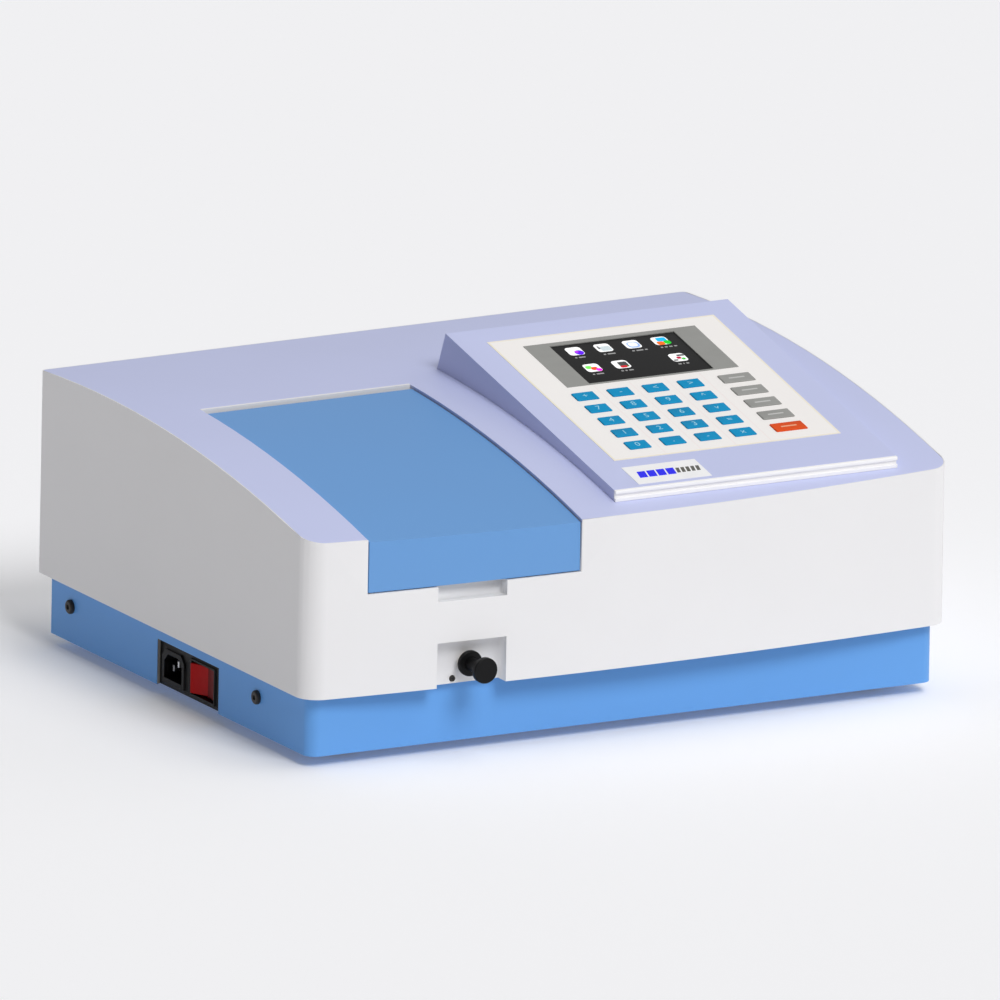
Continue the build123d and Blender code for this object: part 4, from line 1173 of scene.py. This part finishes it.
# a tile's marks: middle across and up, width, height, corner radius, colour
tile_white = tint(250, 250, 250)
tile_size = 11.6 * mm
mark_scale = 1.12 * mm
tile_marks = {
    (0, 0): [
        (2.0, -2.2, 6.0, 6.0, 3.0, tint(98, 12, 245)),
        (0.6, -1.0, 2.6, 2.6, 1.3, tint(190, 60, 250)),
    ],
    (1, 0): [
        (1.0, -1.2, 7.0, 6.0, 1.0, tint(196, 208, 212)),
        (-3.0, 0.6, 1.4, 4.0, 0.5, tint(120, 122, 124)),
    ],
    (2, 0): [
        (0.6, -0.8, 8.0, 7.4, 2.5, tint(150, 180, 232)),
        (0.4, -0.4, 6.0, 5.4, 2.0, tint(238, 243, 252)),
    ],
    (3, 0): [
        (1.2, 1.6, 6.6, 5.0, 1.2, tint(22, 184, 252)),
        (-1.2, -3.0, 4.8, 4.4, 1.2, tint(252, 108, 24)),
        (3.4, -2.6, 4.4, 4.8, 1.6, tint(22, 205, 48)),
    ],
    (0, 1): [
        (-2.2, 0.8, 4.2, 4.0, 1.4, tint(122, 248, 92)),
        (0.8, -1.2, 4.4, 4.0, 1.4, tint(252, 78, 22)),
        (3.0, -3.2, 3.8, 3.6, 1.6, tint(250, 12, 228)),
    ],
    (1, 1): [
        (1.4, 0.4, 6.0, 5.4, 1.0, tint(66, 68, 68)),
        (0.4, -3.2, 4.6, 2.6, 1.0, tint(208, 28, 42)),
        (3.4, -2.8, 1.6, 2.0, 0.6, tint(96, 110, 52)),
    ],
    (3, 1): [
        (2.6, 2.4, 5.0, 2.2, 0.6, tint(88, 88, 90)),
        (0.2, -0.6, 3.0, 2.8, 0.8, tint(186, 18, 62)),
        (2.6, -2.4, 2.4, 2.6, 0.8, tint(62, 186, 66)),
        (-3.0, -3.2, 3.0, 1.6, 0.5, tint(76, 76, 78)),
    ],
}
caption_bars = {
    (0, 0): (1.6, 5.0),
    (1, 0): (1.8, 6.0),
    (2, 0): (2.0, 5.2, 2.0),
    (3, 0): (1.8, 2.2, 2.4, 2.2),
    (0, 1): (1.6, 5.6),
    (1, 1): (1.8, 1.6, 3.4),
    (3, 1): (2.4, 1.0, 2.2),
}
tile_round = 2.6 * mm
tile_depth = 0.03 * mm
mark_depth = 0.05 * mm
mark_step = 0.02 * mm
caption_left, caption_drop = 4.6 * mm, 9.4 * mm
caption_height, caption_round, caption_gap = 1.5 * mm, 0.3 * mm, 1.3 * mm
caption_grey = tint(150, 150, 150)
glass_margin = 7.0 * mm
screen_low, screen_high = on_face("lcd_module")
glass_low = Vector((screen_low.x + glass_margin, screen_low.y + glass_margin, screen_high.z))
glass_high = Vector((screen_high.x - glass_margin, screen_high.y - glass_margin, screen_high.z))
glass_size = glass_high - glass_low
first_column, column_step = 0.151, 0.2295
row_shares = (0.829, 0.385)
plates = []
for (column, row), marks in tile_marks.items():
    middle_x = glass_low.x + glass_size.x * (first_column + column * column_step)
    middle_y = glass_low.y + glass_size.y * row_shares[row]
    base = glass_high.z - ink_sink
    tile = rounded_box(middle_x, middle_y, tile_size, tile_size, tile_round)
    plates.append((tile, base, glass_high.z + tile_depth, tile_white))
    for layer, (x, y, width, height, radius, colour) in enumerate(marks):
        mark = rounded_box(
            middle_x + x * mark_scale, middle_y + y * mark_scale,
            width * mark_scale, height * mark_scale, radius * mark_scale,
        )
        plates.append((mark, base, glass_high.z + mark_depth + layer * mark_step, colour))
    start = middle_x - caption_left
    for length in caption_bars[column, row]:
        width = length * mm
        bar = rounded_box(
            start + width / 2, middle_y - caption_drop, width, caption_height, caption_round, 2,
        )
        plates.append((bar, base, glass_high.z + tile_depth, caption_grey))
        start += width + caption_gap
picture_mesh = ink_plates("screen_picture", plates)
show(picture_mesh, "screen_picture", "casing", lit_picture("lit_picture_finish"))
print("the screen shows", len(tile_marks), "tiles in", len(plates), "plates")

# %% [markdown]
# ## The plain name plate, the recess screw and the inlet's pins
# The name plate stays blank but for a row of plain slanted blocks, blue and then grey. A small dark
# screw holds the knob's stop at the back of the recess. The mains inlet's pins are steel inside a
# black moulding, so a thin steel sleeve is slipped over each.

# %% Plate blocks
plate_low, plate_high = on_face("name_plate")
plate_size = plate_high - plate_low
block_runs = (
    (0.10, 4, 6.2 * mm, 7.3 * mm, 9.0 * mm, tint(6, 4, 250)),
    (0.62, 5, 2.6 * mm, 3.8 * mm, 7.0 * mm, tint(92, 92, 84)),
)
slant = 1.6 * mm
plates = []
for start_share, count, width, pitch, height, colour in block_runs:
    for number in range(count):
        x = plate_low.x + plate_size.x * start_share + number * pitch
        y = (plate_low.y + plate_high.y) / 2
        low_y, high_y = y - height / 2, y + height / 2
        outline = [(x, low_y), (x + width, low_y), (x + width + slant, high_y), (x + slant, high_y)]
        plates.append((outline, plate_high.z - ink_sink, plate_high.z + ink_depth, colour))


def plate_ink(name):
    """Printed ink whose colour is carried by the plates."""
    material, surface, place = start_finish(name)
    ink = place.node("Attribute", {"attribute_name": "ink"}, output="Color")
    uneven = place.noise(0.5 * mm, 2.0)
    apply(surface, place, {
        "Base Color": place.mix(uneven * 0.04, ink, (1.0, 1.0, 1.0, 1.0)),
        "Roughness": 0.4 + uneven * 0.1,
        "Specular IOR Level": 0.2,
    })
    return material


block_mesh = ink_plates("plate_blocks", plates)
show(block_mesh, "plate_blocks", "casing", plate_ink("plate_ink_finish"))
print("the name plate has", len(plates), "plain blocks")

# %% The recess screw and the inlet's pins
bush_low, bush_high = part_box("rod_bush")
bush_flange = 1.4 * mm
screw_left, screw_drop = 10.0 * mm, 5.5 * mm
screw_at = Vector((
    (bush_low.x + bush_high.x) / 2 - screw_left,
    bush_low.y + bush_flange,
    bush_low.z - screw_drop,
))
screws("recess_screw", screw_at, (0, -1, 0), (1, 0, 0), (0.0, 0.0), (1, 1), "black_steel", 2.3 * mm)
print("recess screw at", [round(value / mm, 1) for value in screw_at])


def sleeve(work, low, high, wall=0.15 * mm):
    """A thin box round a pin: closed, a little larger on every side."""
    made = bmesh.ops.create_cube(work, size=1.0)
    size = Vector(high) - Vector(low) + Vector((2 * wall, 2 * wall, 2 * wall))
    middle = (Vector(low) + Vector(high)) / 2
    bmesh.ops.scale(work, vec=size, verts=made["verts"])
    bmesh.ops.translate(work, vec=middle, verts=made["verts"])


inlet_low, inlet_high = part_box("power_inlet")
rim_proud = 1.4 * mm
plate_face = inlet_low.x + rim_proud
pins_behind_face, mouth_from_rear, mouth_from_top = 3.0 * mm, 24.5 * mm, 20.5 * mm
pin_front = Vector((
    plate_face + pins_behind_face,
    inlet_high.y - mouth_from_rear,
    inlet_high.z - mouth_from_top,
))
pin_length, pin_width, pin_height = 13.8 * mm, 2.0 * mm, 4.0 * mm
pin_spots = ((-7.0, -1.5), (0.0, 2.5), (7.0, -1.5))
work = bmesh.new()
for along, up in pin_spots:
    middle = pin_front + Vector((0, along, up)) * mm
    sleeve(
        work,
        middle - Vector((0, pin_width / 2, pin_height / 2)),
        middle + Vector((pin_length, pin_width / 2, pin_height / 2)),
    )
bmesh.ops.bevel(
    work, geom=work.edges[:], offset=0.3 * mm, segments=2, profile=0.5, affect="EDGES", clamp_overlap=True,
)
pin_mesh = made_mesh(work, "inlet_pins")
show(pin_mesh, "inlet_pins", "casing", finishes["bright_steel"])
print("steel pins:", len(pin_spots))

# %% [markdown]
# ## The notch's bare edges
# The base is painted before the notch for the inlet is punched, so the notch's cut edges are bare
# steel. Thin closed strips lie on the three cuts and stop short of the painted corners.

# %% The notch's bare edges
base_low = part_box("base_tray")[0]
plate_reach = 4.0 * mm
strip_half = 0.06 * mm
corner = 0.35 * mm
notch_front = inlet_low.y + plate_reach
notch_rear = inlet_high.y - plate_reach
notch_top = inlet_high.z - plate_reach
strip_left = base_low.x + corner
strips = [
    ((strip_left, cut - strip_half, base_low.z + corner), (plate_face, cut + strip_half, notch_top))
    for cut in (notch_front, notch_rear)
]
strips.append((
    (strip_left, notch_front, notch_top - strip_half),
    (plate_face, notch_rear, notch_top + strip_half),
))
work = bmesh.new()
for strip_low, strip_high in strips:
    sleeve(work, strip_low, strip_high, 0.0)
edge_mesh = made_mesh(work, "notch_edges")
finishes["cut_steel"] = painted("cut_steel_finish", tint(150, 146, 140), 0.5, 0.01 * mm, 0.5 * mm, 0.15)
show(edge_mesh, "notch_edges", "casing", finishes["cut_steel"])
print("notch edges:", [round(value / mm, 1) for value in (notch_front, notch_rear, notch_top)])
